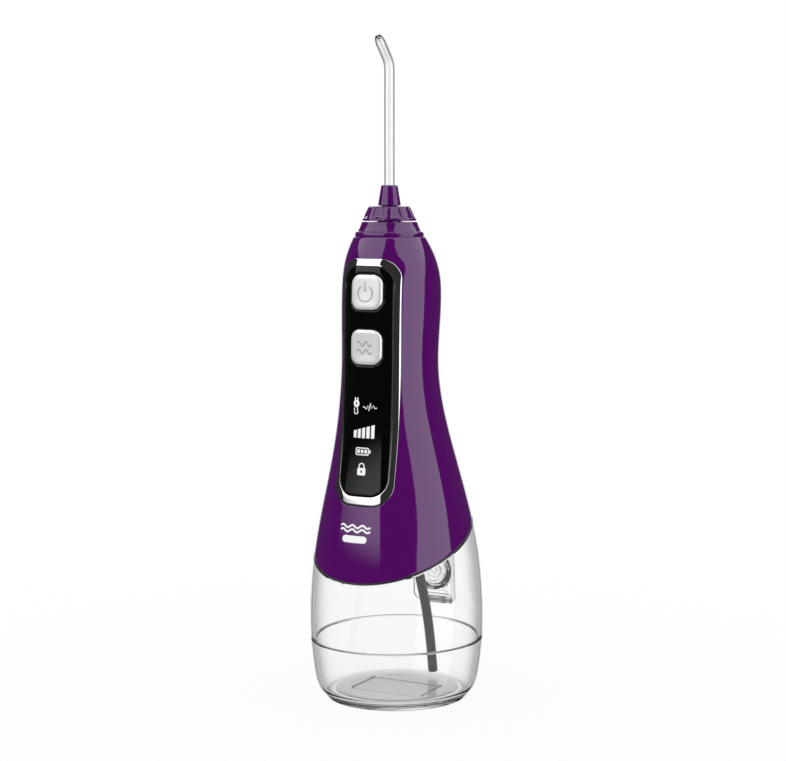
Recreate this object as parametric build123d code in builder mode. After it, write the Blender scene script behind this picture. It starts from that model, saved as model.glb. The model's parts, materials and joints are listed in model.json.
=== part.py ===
from build123d import *
import math
import os
from functools import lru_cache

os.makedirs("parts", exist_ok=True)

# A cordless water flosser, in millimetres.
# Origin: underside of the tank, on the axis of the jet tip.  +Z up, the control panel faces -Y.

# ---------------------------------------------------------------- driving dimensions
# The tank and the handle share one outer form: ellipses (height, half width X, half depth Y, centre Y).
FOOT_HEIGHT = 0.0
SHOULDER_HEIGHT = 194.5
OUTER_FORM = (
    (FOOT_HEIGHT, 29.9, 30.9, 6.6),
    (4, 32.7, 34.3, 6.6),
    (11, 34.7, 36.8, 6.6),
    (28, 36.2, 38.7, 6.6),
    (45, 36.0, 38.2, 6.4),
    (62, 34.3, 36.5, 6.3),
    (78, 31.4, 33.4, 5.8),
    (94, 27.7, 29.6, 4.8),
    (110, 24.1, 25.8, 3.2),
    (126, 21.3, 22.9, 1.4),
    (142, 20.0, 21.6, 0.6),
    (158, 20.3, 22.0, 1.3),
    (170, 20.5, 22.2, 1.9),
    (180, 19.8, 21.4, 1.7),
    (190, 16.9, 18.0, 0.6),
    (SHOULDER_HEIGHT, 14.9, 15.0, 0),
)
WALL = 2.0
FIT = 0.05            # radial clearance of a shaft or a sliding pin
GAP = 0.25            # clearance around a loose cover, a lid or a button

# The handle meets the tank on a plane that is low at the front and high at the back.
SPLIT_HEIGHT = 67.4
SPLIT_ANGLE = 23.1
SPLIT = Plane(
    origin=(0, 0, SPLIT_HEIGHT),
    x_dir=(1, 0, 0),
    z_dir=(0, -math.sin(math.radians(SPLIT_ANGLE)), math.cos(math.radians(SPLIT_ANGLE))),
)
SEAL_THICKNESS = 0.9
RIM_GAP = 0.15        # between the seal and the tank's rim

# Tank
FLOOR_THICKNESS = 2.4
WELD_HEIGHT = 25.2
WELD_GROOVE = 0.5
MOUTH = (33.0, 34.3, 3.4)     # outline of the mouth seen from above: half width, half depth, centre Y
FILL_HEIGHT = 47.0
FILL_RADIUS = 7.0
DOOR_WIDTH = 21.0
DOOR_TOP = 57.5
DOOR_CORNER = 3.0
DOOR_DEPTH = 1.2
HINGE_HEIGHT = 33.0
HINGE_OUT = 46.1
LID_PIN_RADIUS = 0.8
KNUCKLE_RADIUS = 1.5
EAR_INNER = 4.2
EAR_OUTER = 7.0
NECK_INNER = 39.8
NECK_WALL = 1.6
EAR_FOOT = 2.4        # how far each hinge ear's foot reaches in to the wall
LIP_DEPTH = 3.0       # how far the cup's weld lip starts below the weld
LIP_RISE = 2.0
TRAY_Y = 6.5          # shallow tray in the tank's floor
TRAY_WIDTH = 33.0
TRAY_LENGTH = 21.4
TRAY_DEPTH = 0.5
THUMB_LIP_WIDTH = 9.0
THUMB_LIP_LOW = 3.4   # below the door's top edge
THUMB_LIP_HIGH = 1.4
THUMB_LIP_CORNER = 0.9
THUMB_LIP_PROUD = 0.7
PLUG_TAPER = 1.4
PLUG_CUP = 3.0

# Control panel, on the front of the handle
PANEL_BOTTOM = 85.0
PANEL_TOP = 185.8
PANEL_WIDTH = 27.2
PANEL_CORNER = 8.5
LENS_BOTTOM = 89.0
LENS_TOP = 182.7
LENS_WIDTH = 22.6
LENS_CORNER = 7.0
PANEL_DEPTH = 1.1
POWER_HEIGHT = 172.3
MODE_HEIGHT = 149.9
BUTTON_SIZE = 14.2
BUTTON_CORNER = 4.2
BUTTON_PROUD = 0.8
BUTTON_TRAVEL = 0.8
WINDOW_BOTTOM = 95.0
WINDOW_TOP = 131.0
WINDOW_WIDTH = 16.0

BEZEL_PROUD = 0.5
LENS_PROUD = 0.1
STEM_END = 16.3       # the button stems' ends, in front of the axis

# Bulkhead under the handle, with a spigot that drops into the tank's mouth
ROOF_HEIGHT = 190.0
COVER_THICKNESS = 2.2
COVER_SCREW_X = 20.0
COVER_SCREW_Y = 15.0
POST_HEIGHT = 9.0
SPIGOT_DEPTH = 1.8
SPIGOT_WALL = 1.6
SPIGOT_CLEARANCE = 0.7
POST_LOW = 40.0       # ends of the upright posts that are cut at the split
POST_HIGH = 120.0
COVER_BOSS_LOW = 62.0
COVER_BOSS_RADIUS = 2.4
COVER_SCREW_DEPTH = 5.0
BOSS_X = 12.0
BOSS_Y = 3.0
BOSS_TOP = 76.6
FITTING_RADIUS = 2.6
FITTING_TOP = 77.5

# Electronics
BOARD_FRONT = -12.9
BOARD_THICKNESS = 1.2
BOARD_BOTTOM = 96.0
BOARD_TOP = 180.0
CELL_RADIUS = 7.0
CELL_LENGTH = 49.0
CELL_BOTTOM = 130.0

# Drive: a motor along Y turns a pinion, the pinion a crank gear, the gear a vertical piston pump.
MODULE = 0.5
PINION_TEETH = 12
GEAR_TEETH = 42
PRESSURE_ANGLE = math.radians(20)
TOOTH_THINNING = 0.05
MOTOR_HEIGHT = 84.0
MOTOR_RADIUS = 10.0
MOTOR_FRONT = -18.0
MOTOR_LENGTH = 23.0
GEAR_CENTRES = MODULE * (PINION_TEETH + GEAR_TEETH) / 2 + 0.1
GEAR_HEIGHT = MOTOR_HEIGHT + GEAR_CENTRES
FRAME_FRONT = 6.2
FRAME_THICKNESS = 1.5
GEAR_FRONT = 8.4
GEAR_THICKNESS = 2.8
CRANK_THROW = 2.5
ROD_Y = 14.8
ROD_THICKNESS = 2.4
ROD_LENGTH = 13.0
PIN_RADIUS = 1.2
CRANK_PIN_HEIGHT = GEAR_HEIGHT - CRANK_THROW
WRIST_HEIGHT = CRANK_PIN_HEIGHT + ROD_LENGTH
PISTON_RADIUS = 3.4
PISTON_LENGTH = 10.0
WRIST_RADIUS = 0.8
AXLE_RADIUS = 1.2
SHAFT_RADIUS = 1.0
SHAFT_BACK = -6.0
MOTOR_NOSE_RADIUS = 3.0
MOTOR_SCREW_X = 6.5
FRAME_BOTTOM = 75.0
FRAME_TOP = 118.0
FRAME_WIDTH = 27.0
CYLINDER_RADIUS = 5.3
CYLINDER_BOTTOM = 111.0
CYLINDER_TOP = 126.0
HEAD_TOP = 131.0
HEAD_RADIUS = 5.8
VALVE_X = 2.2
VALVE_RADIUS = 1.3
VALVE_THICKNESS = 0.8
INLET_Y = 11.6
INLET_HEIGHT = 128.5
INLET_BARB_END = 8.6
SCREW_SPOTS = ((-4.2, 13.6), (4.2, 13.6))
HEAD_TOP_SCREW = HEAD_TOP - 3.0

# Small screws
SCREW_RADIUS = 0.8
SCREW_HEAD = 1.5
SCREW_HEAD_HEIGHT = 1.0

# Hoses: outer radius and bore
HOSE_RADIUS = 2.1
HOSE_BORE = 1.2
SUCTION_X = 5.0
SUCTION_Y = 13.0
SUCTION_ROUTE = (
    (13.0, 70.0), (13.0, 62.3), (15.9, 53.9), (19.6, 45.4),
    (23.3, 36.5), (26.5, 26.6), (29.1, 15.6), (31.0, 4.8),
)
INLET_ROUTE = (
    (SUCTION_X, SUCTION_Y, FITTING_TOP), (SUCTION_X, SUCTION_Y, 85.0), (10.4, 14.2, 90.2),
    (14.2, 13.6, 97.0), (14.6, 12.8, 108.0), (13.2, 11.9, 119.0),
    (12.4, INLET_Y, INLET_HEIGHT), (6.6, INLET_Y, INLET_HEIGHT),
)
OUTLET_Y = 16.6
SEAT_PORT_HEIGHT = 183.2
OUTLET_ROUTE = (
    (0, OUTLET_Y, HEAD_TOP + FIT), (0.2, OUTLET_Y, 152.0), (0, OUTLET_Y - 0.4, 172.0),
    (0, 15.6, SEAT_PORT_HEIGHT), (0, 7.0, SEAT_PORT_HEIGHT),
)

# Head: collar, knob and jet tip, all round about Z
COLLAR_PROFILE = ((14.1, 194.8), (14.3, 195.6), (13.6, 196.9), (11.2, 200.6))
COLLAR_FOOT = 12.6
KNOB_BOTTOM = 201.0
KNOB_TOP = 207.0
KNOB_RADIUS = 11.3
KNOB_NECK = 8.1
FLUTES = 8
FLUTE_RADIUS = 3.4
FLUTE_OUT = 2.7
KNOB_RING_HEIGHT = 197.5
TIP_RING_HEIGHT = 194.0
SEAT_RADIUS = 5.0
SEAT_OUTER = 6.2
SEAT_BOTTOM = 180.6
SEAT_TOP = 200.4
SEAT_FLANGE = 9.0
SEAT_BARB = 4.0
STEM_BOTTOM = 186.0
SHANK_RADIUS = 2.9
SHANK_BOTTOM = 190.0
HUB_BOTTOM = 207.3
HUB_TOP = 215.6
TUBE_RADIUS = 2.15
TUBE_BORE = 0.8
BEND_HEIGHT = 265.4
TIP_END = (-9.6, 275.6)
BEND_RADIUS = 7.0
NOSE_RADIUS = 1.6
NOSE_LENGTH = 3.5

# Charging port, on the back of the handle
PORT_HEIGHT = 110.5
PORT_WIDTH = 11.0
PORT_TALL = 13.0
PORT_CORNER = 3.0
PORT_DEPTH = 1.0
JACK_RADIUS = 2.8
JACK_BACK = 22.0
PORT_PROUD = 0.3
PORT_HINGE_OUT = 27.3
PORT_HINGE_RADIUS = 0.7
PORT_HINGE_HALF = 3.0


# ---------------------------------------------------------------- shared shapes
@lru_cache(maxsize=None)
def form(inset):
    """The outer form, drawn in by a wall thickness."""
    with BuildPart() as shape:
        for height, half_width, half_depth, centre in OUTER_FORM:
            with BuildSketch(Plane.XY.offset(height)):
                with Locations((0, centre)):
                    Ellipse(half_width - inset, half_depth - inset)
        loft()
    return shape.part


def slab(bottom, top):
    """A wide slab between two heights above the split plane."""
    with BuildPart() as shape:
        with BuildSketch(SPLIT.offset(bottom)):
            Rectangle(200, 200)
        extrude(amount=top - bottom)
    return shape.part


def oval_post(half_width, half_depth, centre, bottom, top):
    """An upright elliptical post."""
    with BuildPart() as shape:
        with BuildSketch(Plane.XY.offset(bottom)):
            with Locations((0, centre)):
                Ellipse(half_width, half_depth)
        extrude(amount=top - bottom)
    return shape.part


def window(width, bottom, top, corner, front=True):
    """A rounded prism that reaches out through the front or the back wall."""
    with BuildPart() as shape:
        with BuildSketch(Plane.XZ if front else Plane.XZ.offset(-60)):
            with Locations((0, (bottom + top) / 2)):
                RectangleRounded(width, top - bottom, corner)
        extrude(amount=60)
    return shape.part


def wall_patch(outer, inner, cutter):
    """The piece of the wall between two insets that lies inside a prism."""
    with BuildPart() as shape:
        add(form(outer))
        add(form(inner), mode=Mode.SUBTRACT)
        add(cutter, mode=Mode.INTERSECT)
    return shape.part


def rod(start, end, radius):
    """A plain round bar between two points."""
    axis = Vector(*end) - Vector(*start)
    with BuildPart() as shape:
        with BuildSketch(Plane(origin=start, z_dir=axis)):
            Circle(radius)
        extrude(amount=axis.length)
    return shape.part


def hose(points, radius, bore):
    """A hose along straight runs joined by tangent arcs."""
    corners = [Vector(*point) for point in points]
    radii = []
    for before, here, after in zip(corners, corners[1:], corners[2:]):
        turn = math.radians((here - before).get_angle(after - here))
        shorter = min((here - before).length, (after - here).length)
        radii.append(0.45 * shorter / math.tan(turn / 2))
    print("bend radii", [round(value, 1) for value in radii])
    with BuildPart() as shape:
        with BuildLine() as path:
            FilletPolyline(*points, radius=radii)
        with BuildSketch(Plane(origin=corners[0], z_dir=corners[1] - corners[0])):
            Circle(radius)
            if bore > 0:
                Circle(bore, mode=Mode.SUBTRACT)
        sweep(path=path.line)
    return shape.part


def screw(location_plane, length):
    """A pan-head screw, its head's underside on the plane and its shank going in."""
    with BuildPart() as shape:
        with BuildSketch(location_plane):
            Circle(SCREW_HEAD)
        extrude(amount=SCREW_HEAD_HEIGHT)
        with BuildSketch(location_plane):
            Circle(SCREW_RADIUS)
        extrude(amount=-length)
        with BuildSketch(location_plane.offset(SCREW_HEAD_HEIGHT)):
            Rectangle(0.4, 2 * SCREW_HEAD)
            Rectangle(2 * SCREW_HEAD, 0.4)
        extrude(amount=-0.4, mode=Mode.SUBTRACT)
    return shape.part


def tooth_half_angle(radius, teeth):
    """Half the angle of an involute tooth at a radius, thinned a little for backlash."""
    pitch = MODULE * teeth / 2
    base = pitch * math.cos(PRESSURE_ANGLE)
    here = math.acos(min(1.0, base / max(radius, base)))
    rise = math.tan(PRESSURE_ANGLE) - PRESSURE_ANGLE
    involute = math.tan(here) - here
    return math.pi / (2 * teeth) + rise - involute - TOOTH_THINNING / pitch


def gear_outline(teeth, first_angle):
    """The toothed outline of a spur gear, its first tooth centred on an angle."""
    pitch = MODULE * teeth / 2
    steps = (pitch - 0.62, pitch - 0.2, pitch, pitch + 0.22, pitch + 0.43)
    outline = []
    for tooth in range(teeth):
        centre = first_angle + tooth * 2 * math.pi / teeth
        for side in (-1, 1):
            for radius in steps[::-side]:
                angle = centre + side * tooth_half_angle(radius, teeth)
                outline.append((radius * math.cos(angle), radius * math.sin(angle)))
    return outline


def save(piece, name):
    """Label a finished piece and write it."""
    piece.label = name
    export_step(piece, f"parts/{name}.step")


# ---------------------------------------------------------------- tank
with BuildPart() as cup_hollow:
    add(form(WALL + 0.3))
    split(bisect_by=Plane.XY.offset(FLOOR_THICKNESS), keep=Keep.TOP)

with BuildPart() as weld_lip:
    add(form(WALL + FIT))
    add(form(WALL + 1.0), mode=Mode.SUBTRACT)
    split(bisect_by=Plane.XY.offset(WELD_HEIGHT - LIP_DEPTH), keep=Keep.TOP)
    split(bisect_by=Plane.XY.offset(WELD_HEIGHT + LIP_RISE), keep=Keep.BOTTOM)

with BuildPart() as tank_base:
    add(form(0))
    split(bisect_by=Plane.XY.offset(WELD_HEIGHT - WELD_GROOVE / 2), keep=Keep.BOTTOM)
    add(cup_hollow.part, mode=Mode.SUBTRACT)
    add(weld_lip.part)
    with BuildSketch(Plane.XY.offset(FLOOR_THICKNESS)):
        with Locations((0, TRAY_Y)):
            Rectangle(TRAY_WIDTH, TRAY_LENGTH)
    extrude(amount=-TRAY_DEPTH, mode=Mode.SUBTRACT)
save(tank_base.part, "tank_base")

door_recess_cutter = window(
    DOOR_WIDTH + 2 * GAP, HINGE_HEIGHT - 0.4, DOOR_TOP + GAP, DOOR_CORNER + GAP, front=False
)
with BuildPart() as door_recess:
    add(door_recess_cutter)
    add(form(DOOR_DEPTH), mode=Mode.SUBTRACT)

with BuildPart() as fill_neck:
    with BuildSketch(Plane.XZ.offset(-NECK_INNER)):
        with Locations((0, FILL_HEIGHT)):
            Circle(FILL_RADIUS + NECK_WALL)
    extrude(amount=-5)
    add(form(WALL - 0.3), mode=Mode.INTERSECT)

with BuildPart() as tank_wall:
    add(form(0))
    add(form(WALL), mode=Mode.SUBTRACT)
    split(bisect_by=Plane.XY.offset(WELD_HEIGHT + WELD_GROOVE / 2), keep=Keep.TOP)
    split(bisect_by=SPLIT.offset(-SEAL_THICKNESS - RIM_GAP), keep=Keep.BOTTOM)
    add(fill_neck.part)
    add(door_recess.part, mode=Mode.SUBTRACT)
    with BuildSketch(Plane.XZ.offset(-30)):
        with Locations((0, FILL_HEIGHT)):
            Circle(FILL_RADIUS + GAP)
    extrude(amount=-30, mode=Mode.SUBTRACT)
    with BuildSketch(Plane.YZ.offset(-EAR_OUTER - GAP)):
        with Locations((HINGE_OUT, HINGE_HEIGHT)):
            Circle(KNUCKLE_RADIUS + GAP)
    extrude(amount=2 * (EAR_OUTER + GAP), mode=Mode.SUBTRACT)
    for side in (-1, 1):
        with BuildSketch(Plane.YZ.offset(side * EAR_INNER)):
            with Locations((HINGE_OUT, HINGE_HEIGHT)):
                Circle(KNUCKLE_RADIUS)
            with Locations((HINGE_OUT - EAR_FOOT / 2, HINGE_HEIGHT - EAR_FOOT / 3)):
                Rectangle(EAR_FOOT, EAR_FOOT * 2 / 3)
            with Locations((HINGE_OUT, HINGE_HEIGHT)):
                Circle(LID_PIN_RADIUS, mode=Mode.SUBTRACT)
        extrude(amount=side * (EAR_OUTER - EAR_INNER))
save(tank_wall.part, "tank_wall")

save(rod((-EAR_OUTER, HINGE_OUT, HINGE_HEIGHT), (EAR_OUTER, HINGE_OUT, HINGE_HEIGHT), LID_PIN_RADIUS),
     "lid_hinge_pin")

door_cutter = window(DOOR_WIDTH, HINGE_HEIGHT + 0.1, DOOR_TOP, DOOR_CORNER, front=False)
lip_cutter = window(
    THUMB_LIP_WIDTH, DOOR_TOP - THUMB_LIP_LOW, DOOR_TOP - THUMB_LIP_HIGH, THUMB_LIP_CORNER, front=False
)
thumb_lip = wall_patch(-THUMB_LIP_PROUD, 0.3, lip_cutter)
with BuildPart() as fill_lid:
    add(wall_patch(0.1, DOOR_DEPTH - 0.1, door_cutter))
    for side in (-1, 1):
        with BuildSketch(Plane.YZ.offset(side * (EAR_INNER - GAP))):
            with Locations((HINGE_OUT, HINGE_HEIGHT)):
                Circle(KNUCKLE_RADIUS + GAP)
        extrude(amount=side * (EAR_OUTER - EAR_INNER + 2 * GAP), mode=Mode.SUBTRACT)
    with BuildSketch(Plane.YZ.offset(-EAR_INNER + GAP)):
        with Locations((HINGE_OUT, HINGE_HEIGHT)):
            Circle(KNUCKLE_RADIUS)
    extrude(amount=2 * (EAR_INNER - GAP))
    with BuildSketch(Plane.YZ.offset(-EAR_OUTER)):
        with Locations((HINGE_OUT, HINGE_HEIGHT)):
            Circle(LID_PIN_RADIUS + FIT)
    extrude(amount=2 * EAR_OUTER, mode=Mode.SUBTRACT)
    add(thumb_lip)
save(fill_lid.part, "fill_lid")

with BuildPart() as lid_plug:
    with BuildSketch(Plane.XZ.offset(-NECK_INNER - 0.4)):
        with Locations((0, FILL_HEIGHT)):
            Circle(FILL_RADIUS - PLUG_TAPER)
    with BuildSketch(Plane.XZ.offset(-45)):
        with Locations((0, FILL_HEIGHT)):
            Circle(FILL_RADIUS)
    loft()
    with BuildSketch(Plane.XZ.offset(-NECK_INNER)):
        with Locations((0, FILL_HEIGHT)):
            Circle(FILL_RADIUS - PLUG_CUP)
    extrude(amount=-1.6, mode=Mode.SUBTRACT)
    add(form(DOOR_DEPTH - 0.1), mode=Mode.INTERSECT)
save(lid_plug.part, "lid_plug")


# ---------------------------------------------------------------- handle shell
def button_window(height, clearance):
    """The rounded square prism of a button, grown by a clearance."""
    half = BUTTON_SIZE / 2 + clearance
    return window(2 * half, height - half, height + half, BUTTON_CORNER + clearance)


with BuildPart() as handle_hollow:
    add(form(WALL))
    split(bisect_by=Plane.XY.offset(ROOF_HEIGHT), keep=Keep.BOTTOM)

with BuildPart() as panel_recess:
    add(window(PANEL_WIDTH + 2 * FIT, PANEL_BOTTOM - FIT, PANEL_TOP + FIT, PANEL_CORNER))
    add(form(PANEL_DEPTH), mode=Mode.SUBTRACT)

port_half = PORT_WIDTH / 2
port_low = PORT_HEIGHT - PORT_TALL / 2
port_high = PORT_HEIGHT + PORT_TALL / 2
with BuildPart() as port_recess:
    add(window(PORT_WIDTH + 2 * GAP, port_low - GAP, port_high + 1.2, PORT_CORNER, front=False))
    add(form(PORT_DEPTH), mode=Mode.SUBTRACT)

with BuildPart() as screw_posts:
    with BuildSketch(SPLIT.offset(COVER_THICKNESS + FIT)):
        with GridLocations(2 * (COVER_SCREW_X + 7), 2 * COVER_SCREW_Y, 2, 2):
            RectangleRounded(19, 5.4, 2.6)
    extrude(amount=POST_HEIGHT)
    add(form(WALL - 0.5), mode=Mode.INTERSECT)

with BuildPart() as housing:
    add(form(0))
    split(bisect_by=SPLIT, keep=Keep.TOP)
    add(handle_hollow.part, mode=Mode.SUBTRACT)
    add(screw_posts.part)
    with BuildSketch(SPLIT):
        with GridLocations(2 * COVER_SCREW_X, 2 * COVER_SCREW_Y, 2, 2):
            Circle(SCREW_RADIUS)
    extrude(amount=POST_HEIGHT, mode=Mode.SUBTRACT)
    add(panel_recess.part, mode=Mode.SUBTRACT)
    add(port_recess.part, mode=Mode.SUBTRACT)
    add(button_window(POWER_HEIGHT, GAP), mode=Mode.SUBTRACT)
    add(button_window(MODE_HEIGHT, GAP), mode=Mode.SUBTRACT)
    add(window(WINDOW_WIDTH, WINDOW_BOTTOM, WINDOW_TOP, 2), mode=Mode.SUBTRACT)
    with BuildSketch(Plane.XZ.offset(-18)):
        with Locations((0, PORT_HEIGHT)):
            Circle(JACK_RADIUS + 1.2 + FIT)
    extrude(amount=-20, mode=Mode.SUBTRACT)
    with BuildSketch(Plane.XY.offset(ROOF_HEIGHT - 2)):
        Circle(SEAT_OUTER + FIT)
    extrude(amount=10, mode=Mode.SUBTRACT)
save(housing.part, "housing")

mouth_width, mouth_depth, mouth_centre = MOUTH
spigot_inset = WALL + SPIGOT_CLEARANCE
bore_inset = spigot_inset + SPIGOT_WALL
spigot = oval_post(
    mouth_width - spigot_inset, mouth_depth - spigot_inset, mouth_centre, POST_LOW, POST_HIGH
)
spigot_bore = oval_post(
    mouth_width - bore_inset, mouth_depth - bore_inset, mouth_centre, POST_LOW, POST_HIGH
)
spigot_slab = slab(-SPIGOT_DEPTH, 0)
cover_slab = slab(0, COVER_THICKNESS)

with BuildPart() as spigot_ring:
    add(spigot)
    add(spigot_bore, mode=Mode.SUBTRACT)
    add(spigot_slab, mode=Mode.INTERSECT)

with BuildPart() as cover_bosses:
    with BuildSketch(Plane.XY.offset(COVER_BOSS_LOW)):
        with Locations((-BOSS_X, BOSS_Y), (BOSS_X, BOSS_Y)):
            Circle(COVER_BOSS_RADIUS)
    extrude(amount=BOSS_TOP - COVER_BOSS_LOW)
    split(bisect_by=SPLIT.offset(COVER_THICKNESS / 2), keep=Keep.TOP)

with BuildPart() as base_cover:
    add(form(WALL + FIT))
    add(cover_slab, mode=Mode.INTERSECT)
    add(spigot_ring.part)
    add(cover_bosses.part)
    with BuildSketch(Plane.XY.offset(BOSS_TOP)):
        with Locations((-BOSS_X, BOSS_Y), (BOSS_X, BOSS_Y)):
            Circle(SCREW_RADIUS)
    extrude(amount=-COVER_SCREW_DEPTH, mode=Mode.SUBTRACT)
    with BuildSketch(SPLIT.offset(-1)):
        with GridLocations(2 * COVER_SCREW_X, 2 * COVER_SCREW_Y, 2, 2):
            Circle(SCREW_RADIUS)
    extrude(amount=5, mode=Mode.SUBTRACT)
    with BuildSketch(Plane.XY.offset(60)):
        with Locations((SUCTION_X, SUCTION_Y)):
            Circle(FITTING_RADIUS + FIT)
    extrude(amount=30, mode=Mode.SUBTRACT)
save(base_cover.part, "base_cover")

with BuildPart() as base_screws:
    for across in (-COVER_SCREW_X, COVER_SCREW_X):
        for along in (-COVER_SCREW_Y, COVER_SCREW_Y):
            spot = SPLIT * Location((across, along, 0), (180, 0, 0))
            add(screw(Plane(spot), 7))
save(base_screws.part, "base_screws")

seal_slab = slab(-SEAL_THICKNESS, 0)
with BuildPart() as mouth_seal:
    add(form(0.1))
    add(spigot, mode=Mode.SUBTRACT)
    add(seal_slab, mode=Mode.INTERSECT)
save(mouth_seal.part, "mouth_seal")

with BuildPart() as inlet_fitting:
    with BuildSketch(Plane.XY.offset(SUCTION_ROUTE[0][1])):
        with Locations((SUCTION_X, SUCTION_Y)):
            Circle(FITTING_RADIUS)
    extrude(amount=FITTING_TOP - SUCTION_ROUTE[0][1])
    with BuildSketch(Plane.XY.offset(FITTING_TOP)):
        with Locations((SUCTION_X, SUCTION_Y)):
            Circle(HOSE_BORE - FIT)
    extrude(amount=4)
    with BuildSketch(Plane.XY.offset(SUCTION_ROUTE[0][1])):
        with Locations((SUCTION_X, SUCTION_Y)):
            Circle(0.6)
    extrude(amount=20, mode=Mode.SUBTRACT)
save(inlet_fitting.part, "inlet_fitting")

suction_points = [(SUCTION_X, y, z) for y, z in SUCTION_ROUTE]
save(hose(suction_points, HOSE_RADIUS, 0), "suction_hose")


# ---------------------------------------------------------------- control panel
lens_cutter = window(LENS_WIDTH, LENS_BOTTOM, LENS_TOP, LENS_CORNER)
lens_hole = window(LENS_WIDTH + 2 * FIT, LENS_BOTTOM - FIT, LENS_TOP + FIT, LENS_CORNER + FIT)
bezel_cutter = window(PANEL_WIDTH, PANEL_BOTTOM, PANEL_TOP, PANEL_CORNER)
with BuildPart() as panel_bezel:
    add(wall_patch(-BEZEL_PROUD, PANEL_DEPTH - FIT, bezel_cutter))
    add(lens_hole, mode=Mode.SUBTRACT)
save(panel_bezel.part, "panel_bezel")

with BuildPart() as display_panel:
    add(wall_patch(-LENS_PROUD, PANEL_DEPTH - FIT, lens_cutter))
    add(button_window(POWER_HEIGHT, GAP), mode=Mode.SUBTRACT)
    add(button_window(MODE_HEIGHT, GAP), mode=Mode.SUBTRACT)
save(display_panel.part, "display_panel")

light_cutter = window(WINDOW_WIDTH - 2 * FIT, WINDOW_BOTTOM + FIT, WINDOW_TOP - FIT, 2)
with BuildPart() as light_guide:
    add(form(PANEL_DEPTH + FIT))
    add(light_cutter, mode=Mode.INTERSECT)
    split(bisect_by=Plane.XZ.offset(-BOARD_FRONT + 1.5), keep=Keep.TOP)
save(light_guide.part, "light_guide")


def button(height):
    """A button cap with a flange behind the wall and a stem to its switch."""
    flange = wall_patch(WALL + GAP, WALL + GAP + 0.9, button_window(height, 1.0))
    cap = wall_patch(-BUTTON_PROUD, WALL + GAP + 0.9, button_window(height, 0))
    with BuildPart() as shape:
        add(cap)
        add(flange)
        with BuildSketch(Plane.XZ.offset(STEM_END)):
            with Locations((0, height)):
                Circle(1.5)
        extrude(amount=3)
    return shape.part


save(button(POWER_HEIGHT), "power_button")
save(button(MODE_HEIGHT), "mode_button")

with BuildPart() as circuit_board:
    with BuildSketch(Plane.XZ.offset(-BOARD_FRONT)):
        with Locations((0, (BOARD_BOTTOM + BOARD_TOP) / 2)):
            RectangleRounded(20.0, BOARD_TOP - BOARD_BOTTOM, 1.5)
    extrude(amount=-BOARD_THICKNESS)
save(circuit_board.part, "circuit_board")

with BuildPart() as tact_switches:
    for height in (POWER_HEIGHT, MODE_HEIGHT):
        with BuildSketch(Plane.XZ.offset(-BOARD_FRONT)):
            with Locations((0, height)):
                Rectangle(6, 6)
        extrude(amount=1.6)
        with BuildSketch(Plane.XZ.offset(-BOARD_FRONT + 1.6)):
            with Locations((0, height)):
                Circle(1.7)
        extrude(amount=STEM_END - BUTTON_TRAVEL - 0.1 + BOARD_FRONT - 1.6)
save(tact_switches.part, "tact_switches")

with BuildPart() as indicator_leds:
    with BuildSketch(Plane.XZ.offset(-BOARD_FRONT)):
        with Locations((0, 100), (0, 107.3), (-4.4, 115), (0, 115), (4.4, 115), (-4, 125.6), (2.4, 125.6)):
            Rectangle(1.6, 1.0)
    extrude(amount=0.7)
save(indicator_leds.part, "indicator_leds")


# ---------------------------------------------------------------- power
with BuildPart() as battery:
    with BuildSketch(Plane.XY.offset(CELL_BOTTOM)):
        Circle(CELL_RADIUS)
    extrude(amount=CELL_LENGTH)
    fillet(battery.edges(), 0.6)
    with BuildSketch(Plane.XY.offset(CELL_BOTTOM + CELL_LENGTH)):
        Circle(2.6)
    extrude(amount=0.6)
save(battery.part, "battery")

with BuildPart() as battery_cradle:
    with BuildSketch(Plane.XY.offset(CELL_BOTTOM + 3)):
        Circle(CELL_RADIUS + 1.2)
        Circle(CELL_RADIUS + FIT, mode=Mode.SUBTRACT)
        with Locations((0, -CELL_RADIUS)):
            Rectangle(30, 10, mode=Mode.SUBTRACT)
    extrude(amount=CELL_LENGTH - 6)
    with BuildSketch(Plane.XY.offset(CELL_BOTTOM + 3)):
        for side in (-1, 1):
            with Locations((side * (CELL_RADIUS + 0.65), (BOARD_FRONT + BOARD_THICKNESS - 2) / 2)):
                Rectangle(1.1, -2 - BOARD_FRONT - BOARD_THICKNESS)
    extrude(amount=CELL_LENGTH - 6)
save(battery_cradle.part, "battery_cradle")

with BuildPart() as charge_socket:
    with BuildSketch(Plane.XZ.offset(-JACK_BACK)):
        with Locations((0, PORT_HEIGHT)):
            Circle(JACK_RADIUS + 1.2)
    extrude(amount=-10)
    add(form(PORT_DEPTH + FIT), mode=Mode.INTERSECT)
    with BuildSketch(Plane.XZ.offset(-JACK_BACK - 0.8)):
        with Locations((0, PORT_HEIGHT)):
            Circle(JACK_RADIUS)
            Circle(1.0, mode=Mode.SUBTRACT)
    extrude(amount=-10, mode=Mode.SUBTRACT)
save(charge_socket.part, "charge_socket")

cover_cutter = window(PORT_WIDTH, port_low, port_high, PORT_CORNER, front=False)
with BuildPart() as port_cover:
    add(wall_patch(-PORT_PROUD, PORT_DEPTH - 0.3, cover_cutter))
    with BuildSketch(Plane.YZ.offset(-PORT_HINGE_HALF)):
        with Locations((PORT_HINGE_OUT, port_high)):
            Circle(PORT_HINGE_RADIUS)
    extrude(amount=2 * PORT_HINGE_HALF)
save(port_cover.part, "port_cover")


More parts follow.
